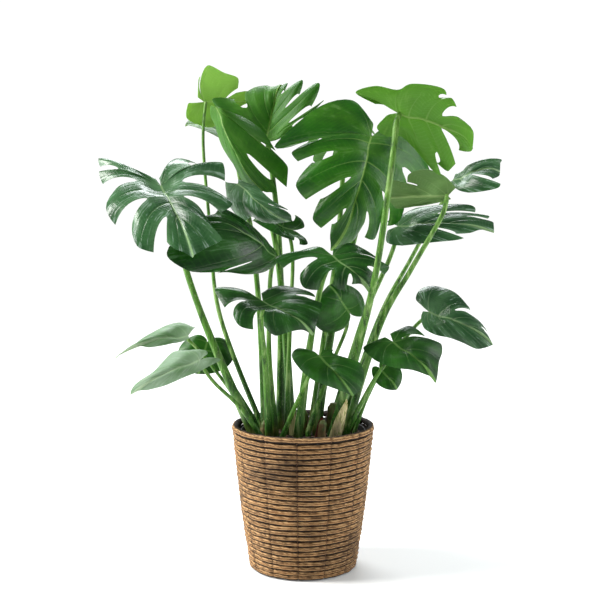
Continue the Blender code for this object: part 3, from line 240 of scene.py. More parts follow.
# Leaves, in the order of these columns. Places are in millimetres: hub is where stalk and blade meet,
# then the tip and the widest points of both halves. Form is the bow along and the arch across the
# blade and the width of its cuts. Cuts run from the stalk to the tip: the depth of each slit, 0 for
# none, a minus sign for a closed hole. Margins run x, y, x, y from the notch to the tip. They and the
# form and cuts are in hundredths. A leaf with no margin of its own has a share of the broad one,
# and a share for the lobe behind the hub in each half.
leafColumns = ("kind", "hub", "tip", "right", "left", "form", "rightCuts", "leftCuts", "foot",
               "girth", "mids", "rightMargin", "leftMargin")
leafRows = (
    ("Young", (-201, 140, 919), (-101, 168, 923), (-177, 150, 984), (-217, 125, 874), (8, 5, 35),
     (75, 0, 75), (0, 0, 0), (-82, 36), (5.5, 3), ((-166, 60, 490), (-186, 84, 660), (-200, 98, 830)),
     (15, -13, 70, -14, 85, -10, 114, 3, 92, 37, 75, 66, 37, 70, 31, 88, 0, 100),
     (5, -26, 15, -28, 73, -8, 103, 28, 115, 60, 84, 67, 49, 74, 17, 85, 0, 100)),
    ("Sheen", (-265, -80, 750), (-195, -205, 631), (-372, -100, 742), (-118, -112, 733), (8, 5, 55),
     (35, 65, 70, 68), (35, 68, 67, 0), (-98, -22), (10.5, 5.5),
     ((-165, -26, 425), (-215, -30, 560), (-246, -44, 680)),
     (4, -13, 75, -43, 89, -23, 90, -17, 100, 13, 107, 56, 102, 85, 78, 100, 50, 104, 21, 96, 0, 100),
     (4, -16, 43, -53, 89, -39, 104, -37, 95, 7, 83, 36, 57, 47, 43, 66, 47, 82, 23, 92, 0, 100)),
    ("Fresh", (-74, 95, 841), (-45, 145, 957), (34, 70, 900), (-190, 105, 902), (5, 6, 50),
     (34, 62, 62, 42), (40, 35, 0, 0), (-46, 52), (9.5, 4.8),
     ((-44, 76, 460), (-48, 100, 640), (-64, 110, 790)),
     (4, -5, 46, -2, 79, 16, 100, 35, 101, 46, 83, 73, 60, 81, 44, 91, 15, 93, 14, 98, 0, 100),
     (8, -6, 50, 3, 76, 19, 97, 38, 54, 62, 52, 66, 41, 82, 24, 92, 15, 91, 7, 94, 0, 100)),
    ("Fresh", (-169, 30, 902), (-79, -20, 740), (-158, 75, 820), (-12, 45, 805), (10, 5, 40),
     (0, 45, 0), (30, 55, 0), (-24, 34), (8.5, 4.5),
     ((-36, 46, 465), (-56, 66, 640), (-90, 80, 740), (-136, 78, 840)),
     (16, -7, 65, 2, 81, 21, 59, 53, 50, 62, 65, 76, 40, 90, 24, 94, 0, 100),
     (19, -6, 61, 5, 73, 34, 78, 42, 37, 93, 17, 97, 9, 98, 4, 100, 0, 100)),
    ("Sheen", (-123, -50, 754), (-25, -60, 682), (-135, -12, 707), (-66, -52, 735), (10, 10, 30),
     (0, 0), (0, 40), (-76, -4), (7, 3.8), ((-86, 18, 500), (-104, 30, 660)),
     (25, -17, 91, 8, 109, 45, 72, 51, 61, 70, 33, 87, 0, 100),
     (54, -18, 91, 0, 92, 33, 112, 56, 85, 59, 76, 75, 0, 100)),
    ("Dark", (-50, -40, 615), (-178, -100, 686), (-116, -12, 685), (-140, -120, 582), (10, 8, 40),
     (0, 0, 0), (0, 55, 0), (-54, -14), (7.5, 4.2), ((-66, -12, 420), (-64, -16, 560)),
     (11, -3, 34, 1, 61, 24, 63, 27, 84, 45, 78, 63, 37, 82, 18, 98, 0, 100),
     (15, -7, 39, -6, 73, 7, 96, 26, 111, 40, 131, 58, 110, 95, 36, 109, 0, 100)),
    ("Dark", (-22, 26, 664), (-98, 18, 684), (-22, 56, 698), (-12, -12, 640), (10, 8, 40), (0, 50, 0),
     (0, 50, 0), (-32, -6), (6, 3.6), ((-26, 4, 465), (-20, 14, 600)), 30, (80, 80)),
    ("Dark", (-75, -115, 538), (18, -165, 485), (-149, -130, 531), (27, -110, 540), (8, 6, 55),
     (0, 66, 75, 0), (0, 40, 0, 0), (-66, -50), (7.5, 4.2), ((-72, -66, 400), (-78, -92, 490)),
     (4, -46, 10, -56, 47, -50, 85, 4, 102, 29, 126, 82, 97, 97, 82, 107, 43, 97, 10, 90, 0, 100),
     (22, -23, 67, -41, 93, -35, 112, -6, 112, 18, 95, 33, 69, 52, 37, 74, 18, 88, 8, 95, 0, 100)),
    ("Dark", (55, -78, 620), (128, -106, 552), (-28, -112, 590), (140, -46, 622), (8, 6, 55),
     (0, 68, 62, 68), (0, 50, 45, 0), (-10, -52), (9.5, 4.8), ((12, -48, 440), (34, -50, 560)),
     (4, -26, 12, -31, 39, -29, 88, -25, 94, 18, 98, 60, 67, 76, 44, 81, 31, 84, 3, 76, 0, 100),
     (14, -12, 69, -22, 83, -1, 86, 29, 96, 40, 93, 57, 61, 77, 41, 80, 19, 90, 8, 96, 0, 100)),
    ("Bright", (132, 20, 844), (59, -20, 625), (-34, -35, 785), (250, 105, 775), (8, 6, 42),
     (0, 30, 50, 72, 55), (0, 50, 50, 60, 55), (26, 0), (10, 5.2),
     ((62, 24, 500), (105, 56, 660), (128, 66, 780)),
     (4, -14, 37, -35, 79, -31, 120, 0, 93, 4, 95, 8, 84, 22, 80, 38, 57, 58, 44, 70, 22, 83, 10, 89, 0,
     100),
     (12, -11, 39, -23, 71, -21, 98, -8, 107, 7, 105, 26, 97, 45, 80, 66, 68, 77, 53, 85, 37, 87, 21,
     90, 0, 100)),
    ("Lit", (175, -90, 884), (308, -140, 820), (192, -145, 932), (235, -55, 785), (10, 8, 66),
     (0, 0, 30, 72), (0, 0, 35, 80), (58, -30), (10.5, 5.5),
     ((106, -86, 460), (134, -136, 600), (160, -126, 780)),
     (6, -28, 20, -52, 60, -25, 72, 4, 99, 21, 118, 60, 103, 71, 99, 70, 82, 90, 53, 101, 0, 100),
     (16, -18, 46, -34, 61, -26, 51, -6, 65, 6, 109, 26, 105, 48, 91, 48, 44, 80, 15, 93, 0, 100)),
    ("Pale", (276, -30, 731), (162, -22, 727), (250, -20, 695), (220, -20, 778), (5, 5, 25), (0, 0, 0),
     (0, 35, 0), (84, -6), (8.5, 4.5), ((148, -18, 480), (206, -34, 590), (262, -38, 690)),
     (18, -6, 31, 9, 49, 40, 52, 54, 59, 72, 57, 84, 34, 92, 17, 97, 0, 100),
     (31, -22, 80, -16, 107, 7, 90, 38, 59, 56, 69, 73, 43, 86, 19, 96, 0, 100)),
    ("Sheen", (191, 85, 669), (380, 60, 660), (232, 48, 626), (248, 125, 700), (8, 6, 35), (0, 55, 0),
     (0, 62, 40), (58, 46), (8, 4.2), ((120, 60, 480), (172, 76, 600)),
     (26, -12, 75, -13, 89, 10, 73, 52, 46, 74, 22, 78, 5, 87, 3, 96, 0, 100),
     (25, -16, 96, 6, 105, 25, 120, 67, 90, 81, 84, 89, 70, 93, 50, 96, 0, 100)),
    ("Sheen", (312, 175, 761), (408, 170, 780), (358, 135, 742), (348, 210, 805), (12, 8, 45), (0, 85),
     (0, 0), (78, 52), (7, 3.8), ((156, 100, 480), (226, 165, 600), (286, 188, 705)),
     (14, -14, 77, -10, 121, 14, 136, 50, 96, 75, 39, 87, 0, 100),
     (34, 0, 39, 24, 52, 49, 66, 93, 47, 95, 19, 98, 0, 100)),
    ("Sheen", (248, 20, 503), (372, 0, 442), (262, 0, 455), (300, 60, 540), (12, 10, 45), (0, 0, 0, 0),
     (0, 0, 62, 35), (98, 22), (6.5, 3.6), ((150, 22, 380), (216, 22, 468)),
     (13, -9, 49, -9, 86, -1, 99, 17, 87, 37, 81, 56, 75, 76, 47, 88, 19, 96, 6, 99, 0, 100),
     (4, -9, 27, -24, 64, -23, 92, -5, 91, 23, 68, 47, 63, 58, 38, 75, 25, 93, 15, 89, 0, 100)),
    ("Deep", (169, -85, 458), (247, -120, 387), (152, -104, 412), (245, -45, 465), (12, 10, 30),
     (0, 0, 0), (75, 0, 0), (82, -36), (6, 3.5), ((130, -56, 370), (162, -72, 425)),
     (9, -15, 90, -31, 102, -10, 96, 14, 77, 36, 41, 58, 13, 80, 3, 87, 0, 100),
     (11, -15, 81, -15, 87, 27, 93, 45, 78, 59, 53, 70, 31, 83, 14, 93, 0, 100)),
    ("Deep", (150, -5, 395), (182, -30, 358), (142, -18, 368), (186, 5, 398), (10, 8, 20), (0, 0),
     (0, 0), (100, -14), (4, 2.5), ((124, -12, 335), (140, -6, 372)), 30, (80, 80)),
    ("Deep", (31, -120, 436), (91, -150, 368), (0, -140, 395), (105, -120, 440), (12, 8, 20), (0, 0, 0),
     (0, 0, 0), (-40, -56), (5.5, 3.4), ((-16, -72, 330), (10, -98, 392)),
     (4, -13, 38, -39, 74, -34, 83, -2, 76, 32, 46, 63, 21, 83, 8, 94, 0, 100),
     (17, -11, 44, -6, 38, 3, 69, 33, 80, 43, 66, 67, 40, 87, 19, 97, 0, 100)),
    ("Deep", (90, -20, 505), (50, -30, 560), (115, 0, 535), (28, -35, 480), (8, 8, 20), (0, 0), (0, 0),
     (10, -20), (5.5, 3.4), ((52, 0, 390), (84, 2, 470)), 50, (90, 90)),
    ("Frosted", (-225, 0, 458), (-360, -50, 424), (-262, 40, 484), (-248, -20, 435), (12, 8, 20),
     (0, 0, 0), (0, 0, 0), (-104, 12), (5, 3.2), ((-142, 12, 345), (-202, 8, 425)),
     (32, -12, 39, -7, 72, 6, 69, 25, 50, 44, 31, 61, 15, 73, 10, 86, 0, 100),
     (34, -2, 47, 7, 75, 28, 76, 40, 57, 55, 12, 65, 5, 74, 3, 88, 0, 100)),
    ("Frosted", (-194, -95, 425), (-321, -130, 365), (-252, -80, 430), (-212, -112, 372), (12, 8, 20),
     (0, 0, 0), (0, 0, 0), (-80, -60), (5.5, 3.4), ((-120, -72, 330), (-168, -84, 380)),
     (11, -14, 34, -16, 72, -6, 109, 11, 68, 39, 41, 58, 35, 80, 22, 92, 0, 100),
     (5, -9, 34, -28, 49, -6, 48, 16, 48, 36, 44, 53, 25, 75, 5, 88, 0, 100)),
    ("Deep", (-192, 55, 438), (-208, 30, 378), (-248, 50, 424), (-140, 70, 408), (10, 8, 20), (0, 0, 0),
     (0, 0, 0), (-92, 50), (5, 3.2), ((-132, 60, 335), (-176, 72, 400)), 50, (80, 80)),
    ("Bright", (85, 170, 870), (90, 290, 790), (165, 215, 835), (10, 205, 835), (10, 7, 55),
     (50, 62, 66, 60), (50, 64, 62, 60), (20, 58), (9, 4.8),
     ((50, 86, 480), (72, 125, 640), (84, 150, 810)), 90, (90, 90)),
    ("Pale", (-140, 195, 840), (-242, 175, 876), (-190, 235, 875), (-176, 155, 845), (10, 5, 20),
     (0, 0, 0), (0, 0, 0), (-62, 74), (6, 3.6), ((-82, 90, 440), (-104, 140, 650), (-132, 200, 761)), 20,
     (60, 60)))


def readLeaf(row):
    leaf = dict(zip(leafColumns, row))
    for key in ("hub", "tip", "right", "left", "foot", "girth", "mids"):
        leaf[key] = np.array(leaf[key]) / 1000
    for key in ("form", "rightCuts", "leftCuts", "rightMargin", "leftMargin"):
        leaf[key] = np.array(leaf[key]) / 100
    leaf["bow"], leaf["arch"], leaf["gap"] = leaf["form"]
    return leaf


leaves = [readLeaf(row) for row in leafRows]

blade = dict(
    thickness=0.0008,
    widest=0.20,            # where along the midrib the right and left points are given
    seat=0.012,             # flat this far around the stalk's top
    seatFade=0.030,
    fanShare=0.36,          # this share of the side veins starts at the stalk
    lastVein=0.62,          # the last side vein starts here on the midrib
    veinBend=0.17,
    lobeDrop=1.5,           # how fast the lobes behind the hub fall
    rounds=(0.24, 0.05),    # corners of a finger towards the stalk and towards the tip
    fingerCurl=0.05,
    marginDrop=0.06,
    waveHeight=0.035,
    waveTurns=9,
    holeLength=0.17,        # half of it
    holeWidth=0.75,
    slitWidth=1.15,
    slitNarrowing=0.45,
    slitRounding=0.38,
    cutLevel=0.30,          # a cut starts at this level of the grid, and a hole stops at the other
    holeLevel=0.86,
    veinDepth=0.0007,       # side veins lie this deep in the upper face
    veinWidth=0.0022,
    ribDepth=0.00112,
    ribWidth=0.0035,
    quilt=0.014,            # how far the blade swells between veins, in half widths
    ribHeight=0.0017,       # the midrib stands out below
    ribBelow=0.0024,
    veinShare=0.35,
    veinBelow=0.0018,
    smooth=60,
    across=(0, 0.05, 0.14, 0.26, 0.38, 0.46, 0.5, 0.54, 0.62, 0.74, 0.86, 0.95, 1),
    levels=(0, 0.012, 0.03, 0.055, 0.09, 0.13, 0.18, 0.24, 0.30, 0.35, 0.41, 0.48, 0.55, 0.62,
            0.70, 0.78, 0.86, 0.91, 0.955, 0.985, 1))
slenderMargin = (3, -9, 17, -22, 43, -31, 76, -19, 97, 7, 98, 34, 76, 60, 42, 81, 14, 94.5, 0, 100)
broadMargin = (3, -9, 20, -22, 48, -30, 80, -18, 98, 8, 102, 36, 93, 64, 68, 86, 28, 97, 0, 100)
hair = 1e-6


# the blade's way along, its two halves sideways, and the direction it faces
def frameBlade(leaf):
    along = leaf["tip"] - leaf["hub"]
    shift = leaf["hub"] + blade["widest"] * along
    halves = {1: leaf["right"] - shift, -1: leaf["left"] - shift}
    normal = unit(np.cross(unit(unit(halves[1]) - unit(halves[-1])), along))
    leaf.update(along=along, halves=halves, normal=normal, length=np.linalg.norm(along))


# the flat leaf's point (x, y), folded and arched into place
def placeOnBlade(leaf, side, width, x, y, r, lift):
    normal = leaf["normal"]
    flat = y[..., None] * leaf["along"] + x[..., None] * leaf["halves"][side]
    bow = 4 * np.maximum(y, 0) * (1 - y) + blade["lobeDrop"] * np.minimum(y, 0)
    rise = leaf["bow"] * leaf["length"] * bow + leaf["arch"] * width * 4 * r * (1 - r)
    rise += lift - blade["marginDrop"] * width * r ** 3
    fold = flat @ normal
    distance = np.linalg.norm(flat - fold[..., None] * normal, axis=-1)
    ease = np.clip((distance - blade["seat"]) / blade["seatFade"], 0, 1)
    ease = ease * ease * (3 - 2 * ease)
    return leaf["hub"] + flat + (ease * rise - (1 - ease) * fold)[..., None] * normal


def bladeMargin(leaf, side):
    if leaf["rightMargin"].ndim:
        return leaf["rightMargin" if side == 1 else "leftMargin"].reshape(-1, 2)
    full, lobes = leaf["rightMargin"], leaf["leftMargin"]
    margin = ((1 - full) * np.array(slenderMargin) + full * np.array(broadMargin)).reshape(-1, 2) / 100
    margin[:, 1] *= np.where(margin[:, 1] < 0, lobes[0 if side == 1 else 1], 1)
    return margin


def veinRoot(share):
    fan = blade["fanShare"]
    return np.where(share <= fan, 0.0, blade["lastVein"] * (share - fan) / (1 - fan))


def veinPoint(outline, share, edgeShare, r):
    root = np.stack((np.zeros_like(share), veinRoot(share)), -1)
    margin = smoothPath(outline, edgeShare)
    margin[..., 0] = np.maximum(margin[..., 0], 0.0)
    run = margin - root
    turned = np.stack((run[..., 1], -run[..., 0]), -1)
    middle = root + 0.5 * run + (blade["veinBend"] * np.sin(np.pi * share))[..., None] * turned
    r = r[..., None]
    return (1 - r) ** 2 * root + 2 * r * (1 - r) * middle + r * r * margin


# the levels of a finger's grid beside a cut, half the cut's opening there, and how free that side is
def cutEdge(cut):
    levels = np.array(blade["levels"])
    if cut == 0:
        return levels, 0 * levels, 0 * levels
    start, stop = (1 - cut, 1) if cut > 0 else (-cut - blade["holeLength"], -cut + blade["holeLength"])
    if cut > 0:
        r = np.interp(levels, (0, blade["cutLevel"], 1), (0, start, 1))
    else:
        r = np.interp(levels, (0, blade["cutLevel"], blade["holeLevel"], 1), (0, start, stop, 1))
    s = np.where(r > start + hair, np.clip((r - start) / (stop - start), 0, 1), 0)
    if cut > 0:
        return r, s ** blade["slitRounding"] * (blade["slitWidth"] - blade["slitNarrowing"] * s), s
    return r, blade["holeWidth"] * np.sqrt(np.maximum(4 * s * (1 - s), 0)) * (s < 1 - hair), 0 * s


def bulge(gap, width):
    return np.exp(-(gap / width) ** 2)


# one finger as a grid: places, and for the finish the gaps to vein, midrib and hub
def fingerGrid(leaf, side, outline, cuts, finger, count):
    width, length = np.linalg.norm(leaf["halves"][side]), leaf["length"]
    u = np.array(blade["across"])[:, None]
    lowLevels, lowOpen, lowFree = cutEdge(cuts[finger])
    highLevels, highOpen, highFree = cutEdge(cuts[finger + 1])
    r = (1 - u) * lowLevels + u * highLevels
    start = finger + 0.5 * leaf["gap"] * lowOpen
    end = finger + 1 - 0.5 * leaf["gap"] * highOpen
    share = (finger + u) / count + 0 * r
    edgeShare = ((1 - u) * start + u * end) / count
    trim = blade["rounds"][0] * lowFree ** 2 * np.maximum(0, 1 - 2 * u) ** 2
    trim = trim + blade["rounds"][1] * highFree ** 2 * np.maximum(0, 2 * u - 1) ** 2
    flat = veinPoint(outline, share, edgeShare, r * (1 - trim))
    isTip = (finger == count - 1) & (u == 1) & (np.arange(r.shape[1]) > 0)
    x = np.where(isTip, 0.0, flat[..., 0])
    y = flat[..., 1]
    middle = len(u) // 2
    veinGap = np.hypot((x - x[middle]) * width, (y - y[middle]) * length)
    ribGap = np.hypot(x * width, np.minimum(y, 0) * length)
    hubGap = np.hypot(x * width, y * length)
    free = (1 - u) * lowFree + u * highFree
    edge = np.abs(2 * u - 1)
    wave = blade["waveHeight"] * np.sin(blade["waveTurns"] * share + side)
    lift = width * r * r * (wave - blade["fingerCurl"] * free * edge ** 2)
    puff = blade["quilt"] * width * (1 - 0.6 * free) * np.sin(np.pi * np.clip(r * 1.05, 0, 1))
    lift = lift + puff * (edge ** 1.3 - 0.4)
    lift = lift - blade["veinDepth"] * bulge(veinGap, blade["veinWidth"]) * (1 - r)
    lift = np.where(isTip, 0.0, lift - blade["ribDepth"] * bulge(ribGap, blade["ribWidth"]))
    points = placeOnBlade(leaf, side, width, x, y, r, lift)
    notes = np.stack((veinGap, ribGap, r, edge + 0 * r, y, hubGap), -1)
    return points, notes, lowOpen, highOpen


def bladeSheet(leaf):
    count = len(leaf["rightCuts"]) + 1
    last = len(blade["across"]) - 1
    points, notes, indexOf, faces = [], [], {}, []
    for side, cuts in ((1, leaf["rightCuts"]), (-1, leaf["leftCuts"])):
        cuts = (0, *cuts, 0)
        outline = bladeMargin(leaf, side)
        for finger in range(count):
            grid, gridNotes, lowOpen, highOpen = fingerGrid(leaf, side, outline, cuts, finger, count)
            number = np.zeros(grid.shape[:2], int)
            for column, row in np.ndindex(*number.shape):
                if row == 0:
                    share = (finger + blade["across"][column]) / count
                    key = ("root", round(float(veinRoot(share)), 6))
                elif finger == count - 1 and column == last:
                    key = ("tip", row)
                elif column == 0 and finger > 0 and lowOpen[row] == 0:
                    key = (side, "edge", finger, row)
                elif column == last and highOpen[row] == 0:
                    key = (side, "edge", finger + 1, row)
                else:
                    key = (side, finger, column, row)
                if key not in indexOf:
                    indexOf[key] = len(points)
                    points.append(grid[column, row])
                    notes.append(gridNotes[column, row])
                number[column, row] = indexOf[key]
            for column, row in np.ndindex(last, number.shape[1] - 1):
                cell = (*number[column, row:row + 2], *number[column + 1, row:row + 2][::-1])
                cell = tuple(int(corner) for corner in dict.fromkeys(cell))
                if len(cell) > 2:
                    faces.append(cell if side == 1 else cell[::-1])
    return np.array(points), np.array(notes), faces


def cornerNormals(points, faces):
    normals = np.zeros_like(points)
    for face in faces:
        a, b, c = (points[corner] for corner in face[:3])
        normal = np.cross(b - a, c - a) + np.cross(c - a, points[face[-1]] - a)
        for corner in face:
            normals[corner] += normal
    return normals / np.linalg.norm(normals, axis=1)[:, None]


def makeBlade(number, leaf, material):
    points, notes, faces = bladeSheet(leaf)
    normals = cornerNormals(points, faces)
    half = blade["thickness"] / 2
    veinGap, ribGap, r, y = notes.T[[0, 1, 2, 4]]
    rib = bulge(ribGap, blade["ribBelow"]) * (1 - np.clip(y, 0, 1)) * (y > -0.001)
    rib += blade["veinShare"] * bulge(veinGap, blade["veinBelow"]) * (1 - r)
    under = points - normals * (half + blade["ribHeight"] * rib)[:, None]
    solid, faces = joinSheets(points + normals * half, under, faces)
    twice = np.vstack((notes, notes))
    twice[:, 4] = np.repeat((0, 1), len(points))
    addPiece(f"bladeFine{number:02d}", solid, faces, material, f"blade_{number:02d}",
             {"leafLines": twice[:, :3], "leafFace": twice[:, 3:]}, blade["smooth"])


# Leaf finishes. Greens of the body, its deep and fresh places, veins, underside, light let through and a
# painted sheen, then roughness, shine, the share of light let through, and the strength of the painted
# sheen's streaks
leafTones = ("body", "deep", "fresh", "vein", "under", "glow", "sheen")
leafKinds = {
    "Dark": ((32, 86, 22), (8, 46, 10), (58, 118, 38), (132, 170, 104), (86, 126, 66), (80, 150, 20),
             (130, 172, 128), 0.20, 0.36, 0.12, 0.26),
    "Fresh": ((68, 128, 30), (42, 100, 18), (96, 154, 52), (150, 190, 96), (104, 150, 62),
              (112, 180, 30), (126, 174, 90), 0.40, 0.30, 0.28, 0.25),
    "Bright": ((40, 108, 12), (18, 76, 6), (88, 150, 36), (140, 182, 88), (98, 144, 64),
               (100, 170, 22), (138, 184, 108), 0.30, 0.35, 0.20, 0.24),
    # a pale body, partly the leaf's own light green and partly painted light shining through it
    "Young": ((150, 196, 100), (98, 156, 56), (178, 214, 130), (198, 222, 150), (140, 188, 90),
              (190, 222, 120), (190, 220, 150), 0.42, 0.35, 0.44, 0.25),
    # a brighter body, partly painted light shining through the blade
    "Lit": ((92, 150, 36), (58, 116, 18), (142, 190, 82), (164, 196, 108), (84, 140, 38),
            (136, 190, 48), (176, 210, 130), 0.38, 0.45, 0.36, 0.40),
    "Pale": ((88, 128, 64), (62, 106, 46), (120, 156, 88), (156, 184, 114), (100, 138, 70),
             (120, 166, 60), (150, 180, 124), 0.38, 0.40, 0.20, 0.20),
    # the strongest painted sheen streaks, for light reflected off glossy blades
    "Sheen": ((56, 104, 56), (16, 62, 24), (104, 148, 100), (146, 180, 124), (92, 134, 76),
              (84, 150, 36), (176, 204, 184), 0.20, 0.42, 0.12, 0.60),
    "Deep": ((30, 88, 14), (10, 56, 6), (62, 124, 34), (118, 164, 82), (86, 130, 56), (80, 150, 16),
             (96, 150, 88), 0.28, 0.32, 0.14, 0.20),
    # whitish tones painted for light reflected off leaves that face up
    "Frosted": ((144, 172, 142), (100, 138, 92), (176, 198, 174), (190, 212, 174), (130, 164, 114),
                (176, 204, 160), (204, 218, 206), 0.34, 0.45, 0.34, 0.6)}
leafGrain = dict(broad=11.0, small=90.0, acrossStreaks=4.5, alongStreaks=1.3, veinWidth=0.0022,
                 veinTaper=0.0017, rib=(0.0030, 0.0010), star=(0.050, 0.002), bones=95, boneSlant=9,
                 bumps=0.45, bumpDepth=0.0010, glow=0.75)


def leafFinish(kind):
    *tones, roughness, shine, through, streaks = leafKinds[kind]
    tones = dict(zip(leafTones, tones))
    grain = leafGrain
    finish = Finish("leaf" + kind)
    veinGap, ribGap, reach = finish.parts("leafLines")
    across, under, hubGap = finish.parts("leafFace")
    broad = finish.noise(grain["broad"], 2.0)
    small = finish.noise(grain["small"])
    # long soft streaks beside the side veins, for darker streaks, for the bump and for a painted sheen
    lengths = finish.join(across * grain["acrossStreaks"], reach * grain["alongStreaks"], broad * 9)
    streak = finish.noise(1.0, place=lengths)
    vein = (veinGap / (grain["veinWidth"] - grain["veinTaper"] * reach)).ramp(1.0, 0.25)
    rib = ribGap.ramp(*grain["rib"])
    star = hubGap.ramp(*grain["star"])
    # fine veins leave each side vein like the bones of a fish
    bones = (reach * grain["bones"] + across * grain["boneSlant"] + broad * 6).sine().ramp(0.55, 1.0)
    lines = (vein * (0.42 - 0.34 * reach)).greater(rib * 0.75)
    upper = finish.blend(tones["deep"], (broad.ramp(0.35, 0.68), tones["body"]),
                         (streak.ramp(0.50, 0.38) * 0.5, tones["deep"]),
                         (across.ramp(0.2, 1.0) * small * 0.6, tones["fresh"]),
                         # the painted sheen: light streaks that stand for light reflected off the glossy
                         # blade
                         (streak.ramp(0.56, 0.72) * streaks, tones["sheen"]),
                         (bones * 0.10, tones["fresh"]), (star * 0.45, tones["fresh"]),
                         (lines, tones["vein"]))
    lower = finish.blend(tones["under"], (broad.ramp(0.35, 0.65) * 0.6, tones["body"]),
                         (streak.ramp(0.52, 0.70) * 0.35, tones["fresh"]),
                         (bones * 0.12, tones["vein"]), (lines * 0.8, tones["vein"]))
    height = small * 0.25 + bones * 0.15 - vein * 0.6 + streak * 2
    shader = finish.body(finish.blend(upper, (under, lower)), roughness + small * 0.10 + under * 0.16,
                         finish.bump(height, grain["bumps"], grain["bumpDepth"]), Specular_IOR_Level=shine)
    # the light let through: mostly the glow, with a little of the body
    both = zip(paint(tones["glow"]), paint(tones["body"]))
    glow = tuple(grain["glow"] * light + (1 - grain["glow"]) * body for light, body in both)
    translucent = finish.add("BsdfTranslucent", {}, {"Color": glow})
    return finish.close(finish.add("MixShader", {}, {0: through, 1: shader, 2: translucent}))


leafMaterials = {kind: leafFinish(kind) for kind in leafKinds}
for number, leaf in enumerate(leaves, 1):
    frameBlade(leaf)
    makeBlade(number, leaf, leafMaterials[leaf["kind"]])
print("scene: blades made")


stalk = dict(sides=14, rings=46, stemDepth=0.026, topShare=0.85, topOffset=0.6, kneeDrop=3.2, kneeOut=1.2,
             underBlade=0.0008, soilRise=0.002, firstKnot=0.008,
             swell=0.16, swellAt=0.955, swellWidth=0.035,    # the swollen joint just below the blade
             sheathEnd=0.45, sheathShare=0.75, sheathFade=0.7,
             groove=0.16, grooveWidth=0.5, wing=0.20, wingAt=1.0, wingWidth=0.35, sharp=70)
soilTop = 0.262
upright = np.array((0.0, 0.0, 1.0))


def stalkPath(leaf):
    normal = leaf["normal"]
    lower, upper = leaf["girth"]
    topRadius = upper * stalk["topShare"]
    top = leaf["hub"] + unit(leaf["along"]) * topRadius * stalk["topOffset"] - normal * stalk["underBlade"]
    away = leaf["mids"][-1] - top
    away = unit(away - normal * float(away @ normal))
    knee = top - normal * (stalk["kneeDrop"] * upper) + away * (stalk["kneeOut"] * upper)
    foot = np.array((*leaf["foot"], soilTop))
    shares = np.linspace(0, 1, stalk["rings"])
    way = smoothPath([foot + upright * stalk["firstKnot"], *leaf["mids"], knee], shares)
    sheath = np.maximum(0, 1 - shares / stalk["sheathEnd"])
    sheathShare = stalk["sheathShare"]
    radii = upper + (lower - upper) * ((1 - sheathShare) * (1 - shares) + sheathShare * sheath)
    radii += upper * stalk["swell"] * bulge(shares - stalk["swellAt"], stalk["swellWidth"])
    centres = np.vstack((foot - upright * stalk["stemDepth"], foot + upright * stalk["soilRise"], way, top))
    radii = np.concatenate(((lower, lower), radii, (topRadius,)))
    return centres, radii, np.concatenate(((0, 0), shares, (1,))), normal


def makeStalk(number, leaf, material):
    centres, radii, shares, normal = stalkPath(leaf)
    angles = ringAngles(stalk["sides"])
    turned = np.minimum(angles, fullTurn - angles)
    # a groove faces the middle of the plant, with the sheath's wings beside it
    facing = bulge(turned, stalk["grooveWidth"])
    wings = bulge(turned - stalk["wingAt"], stalk["wingWidth"])
    across = unit(-np.array((*leaf["foot"], 0.0)) + (0, -0.001, 0))
    rings = []
    for step, (centre, radius, share) in enumerate(zip(centres, radii, shares)):
        if step <= 1:
            direction = upright
        elif step == len(centres) - 1:
            direction = normal
        else:
            direction = unit(centres[step + 1] - centres[step - 1])
        across = unit(across - direction * float(across @ direction))
        other = np.cross(direction, across)
        sheath = max(0.0, 1 - share / stalk["sheathEnd"]) ** stalk["sheathFade"]
        reach = radius * (1 - stalk["groove"] * facing * (0.5 + 0.5 * sheath)
                          + stalk["wing"] * wings * sheath * (step > 1))
        spokes = np.outer(np.cos(angles), across) + np.outer(np.sin(angles), other)
        rings.append(centre + reach[:, None] * spokes)
    points, faces = joinTubes([np.array(rings)])
    addPiece(f"stalkFine{number:02d}", points, faces, material, f"petiole_{number:02d}",
             {"stalkPlace": np.outer(np.repeat(shares, stalk["sides"]), (1, 0, 0))}, stalk["sharp"])


stalkColours = dict(low=(40, 92, 18), middle=(76, 126, 36), high=(92, 138, 50), dark=(12, 46, 10),
                    fleck=(160, 188, 118), rust=(120, 92, 52))


def stalkFinish():
    finish = Finish("stalkGreen")
    share = finish.parts("stalkPlace")[0]
    along = finish.noise(150.0, 3.0, 0.10)
    patches = finish.noise(16.0, 2.0)
    flecks = finish.noise(620.0, 1.0, 0.35)
    layers = ((share.ramp(0.02, 0.30), "middle"), (share.ramp(0.45, 0.98), "high"),
              (along.ramp(0.50, 0.66) * 0.75, "dark"), (along.ramp(0.46, 0.34) * 0.45, "fleck"),
              (patches.ramp(0.50, 0.70) * 0.25, "fleck"), (flecks.ramp(0.64, 0.72) * 0.5, "fleck"),
              (share.ramp(0.08, 0.0) * patches.ramp(0.40, 0.60) * 0.5, "rust"))
    tone = finish.blend(stalkColours["low"], *((cover, stalkColours[name]) for cover, name in layers))
    bump = finish.bump(along + flecks * 0.3, 0.30, 0.0006)
    return finish.close(finish.body(tone, 0.36 + along * 0.15, bump, Specular_IOR_Level=0.3))


stalkGreen = stalkFinish()
for number, leaf in enumerate(leaves, 1):
    makeStalk(number, leaf, stalkGreen)
print("scene: stalks made")


# Short stems between the stalks, with leaf scars and what is left of dried sheaths
crowns = (((-0.078, -0.028), 0.0080, 0.034), ((-0.004, 0.012), 0.0120, 0.046),
          ((0.056, 0.010), 0.0125, 0.062), ((0.034, -0.052), 0.0080, 0.040))
crown = dict(sides=20, rings=26, lean=0.004, buried=0.01, scars=4, scar=0.07, taper=0.10,
             domeFrom=0.86, dome=3.2)


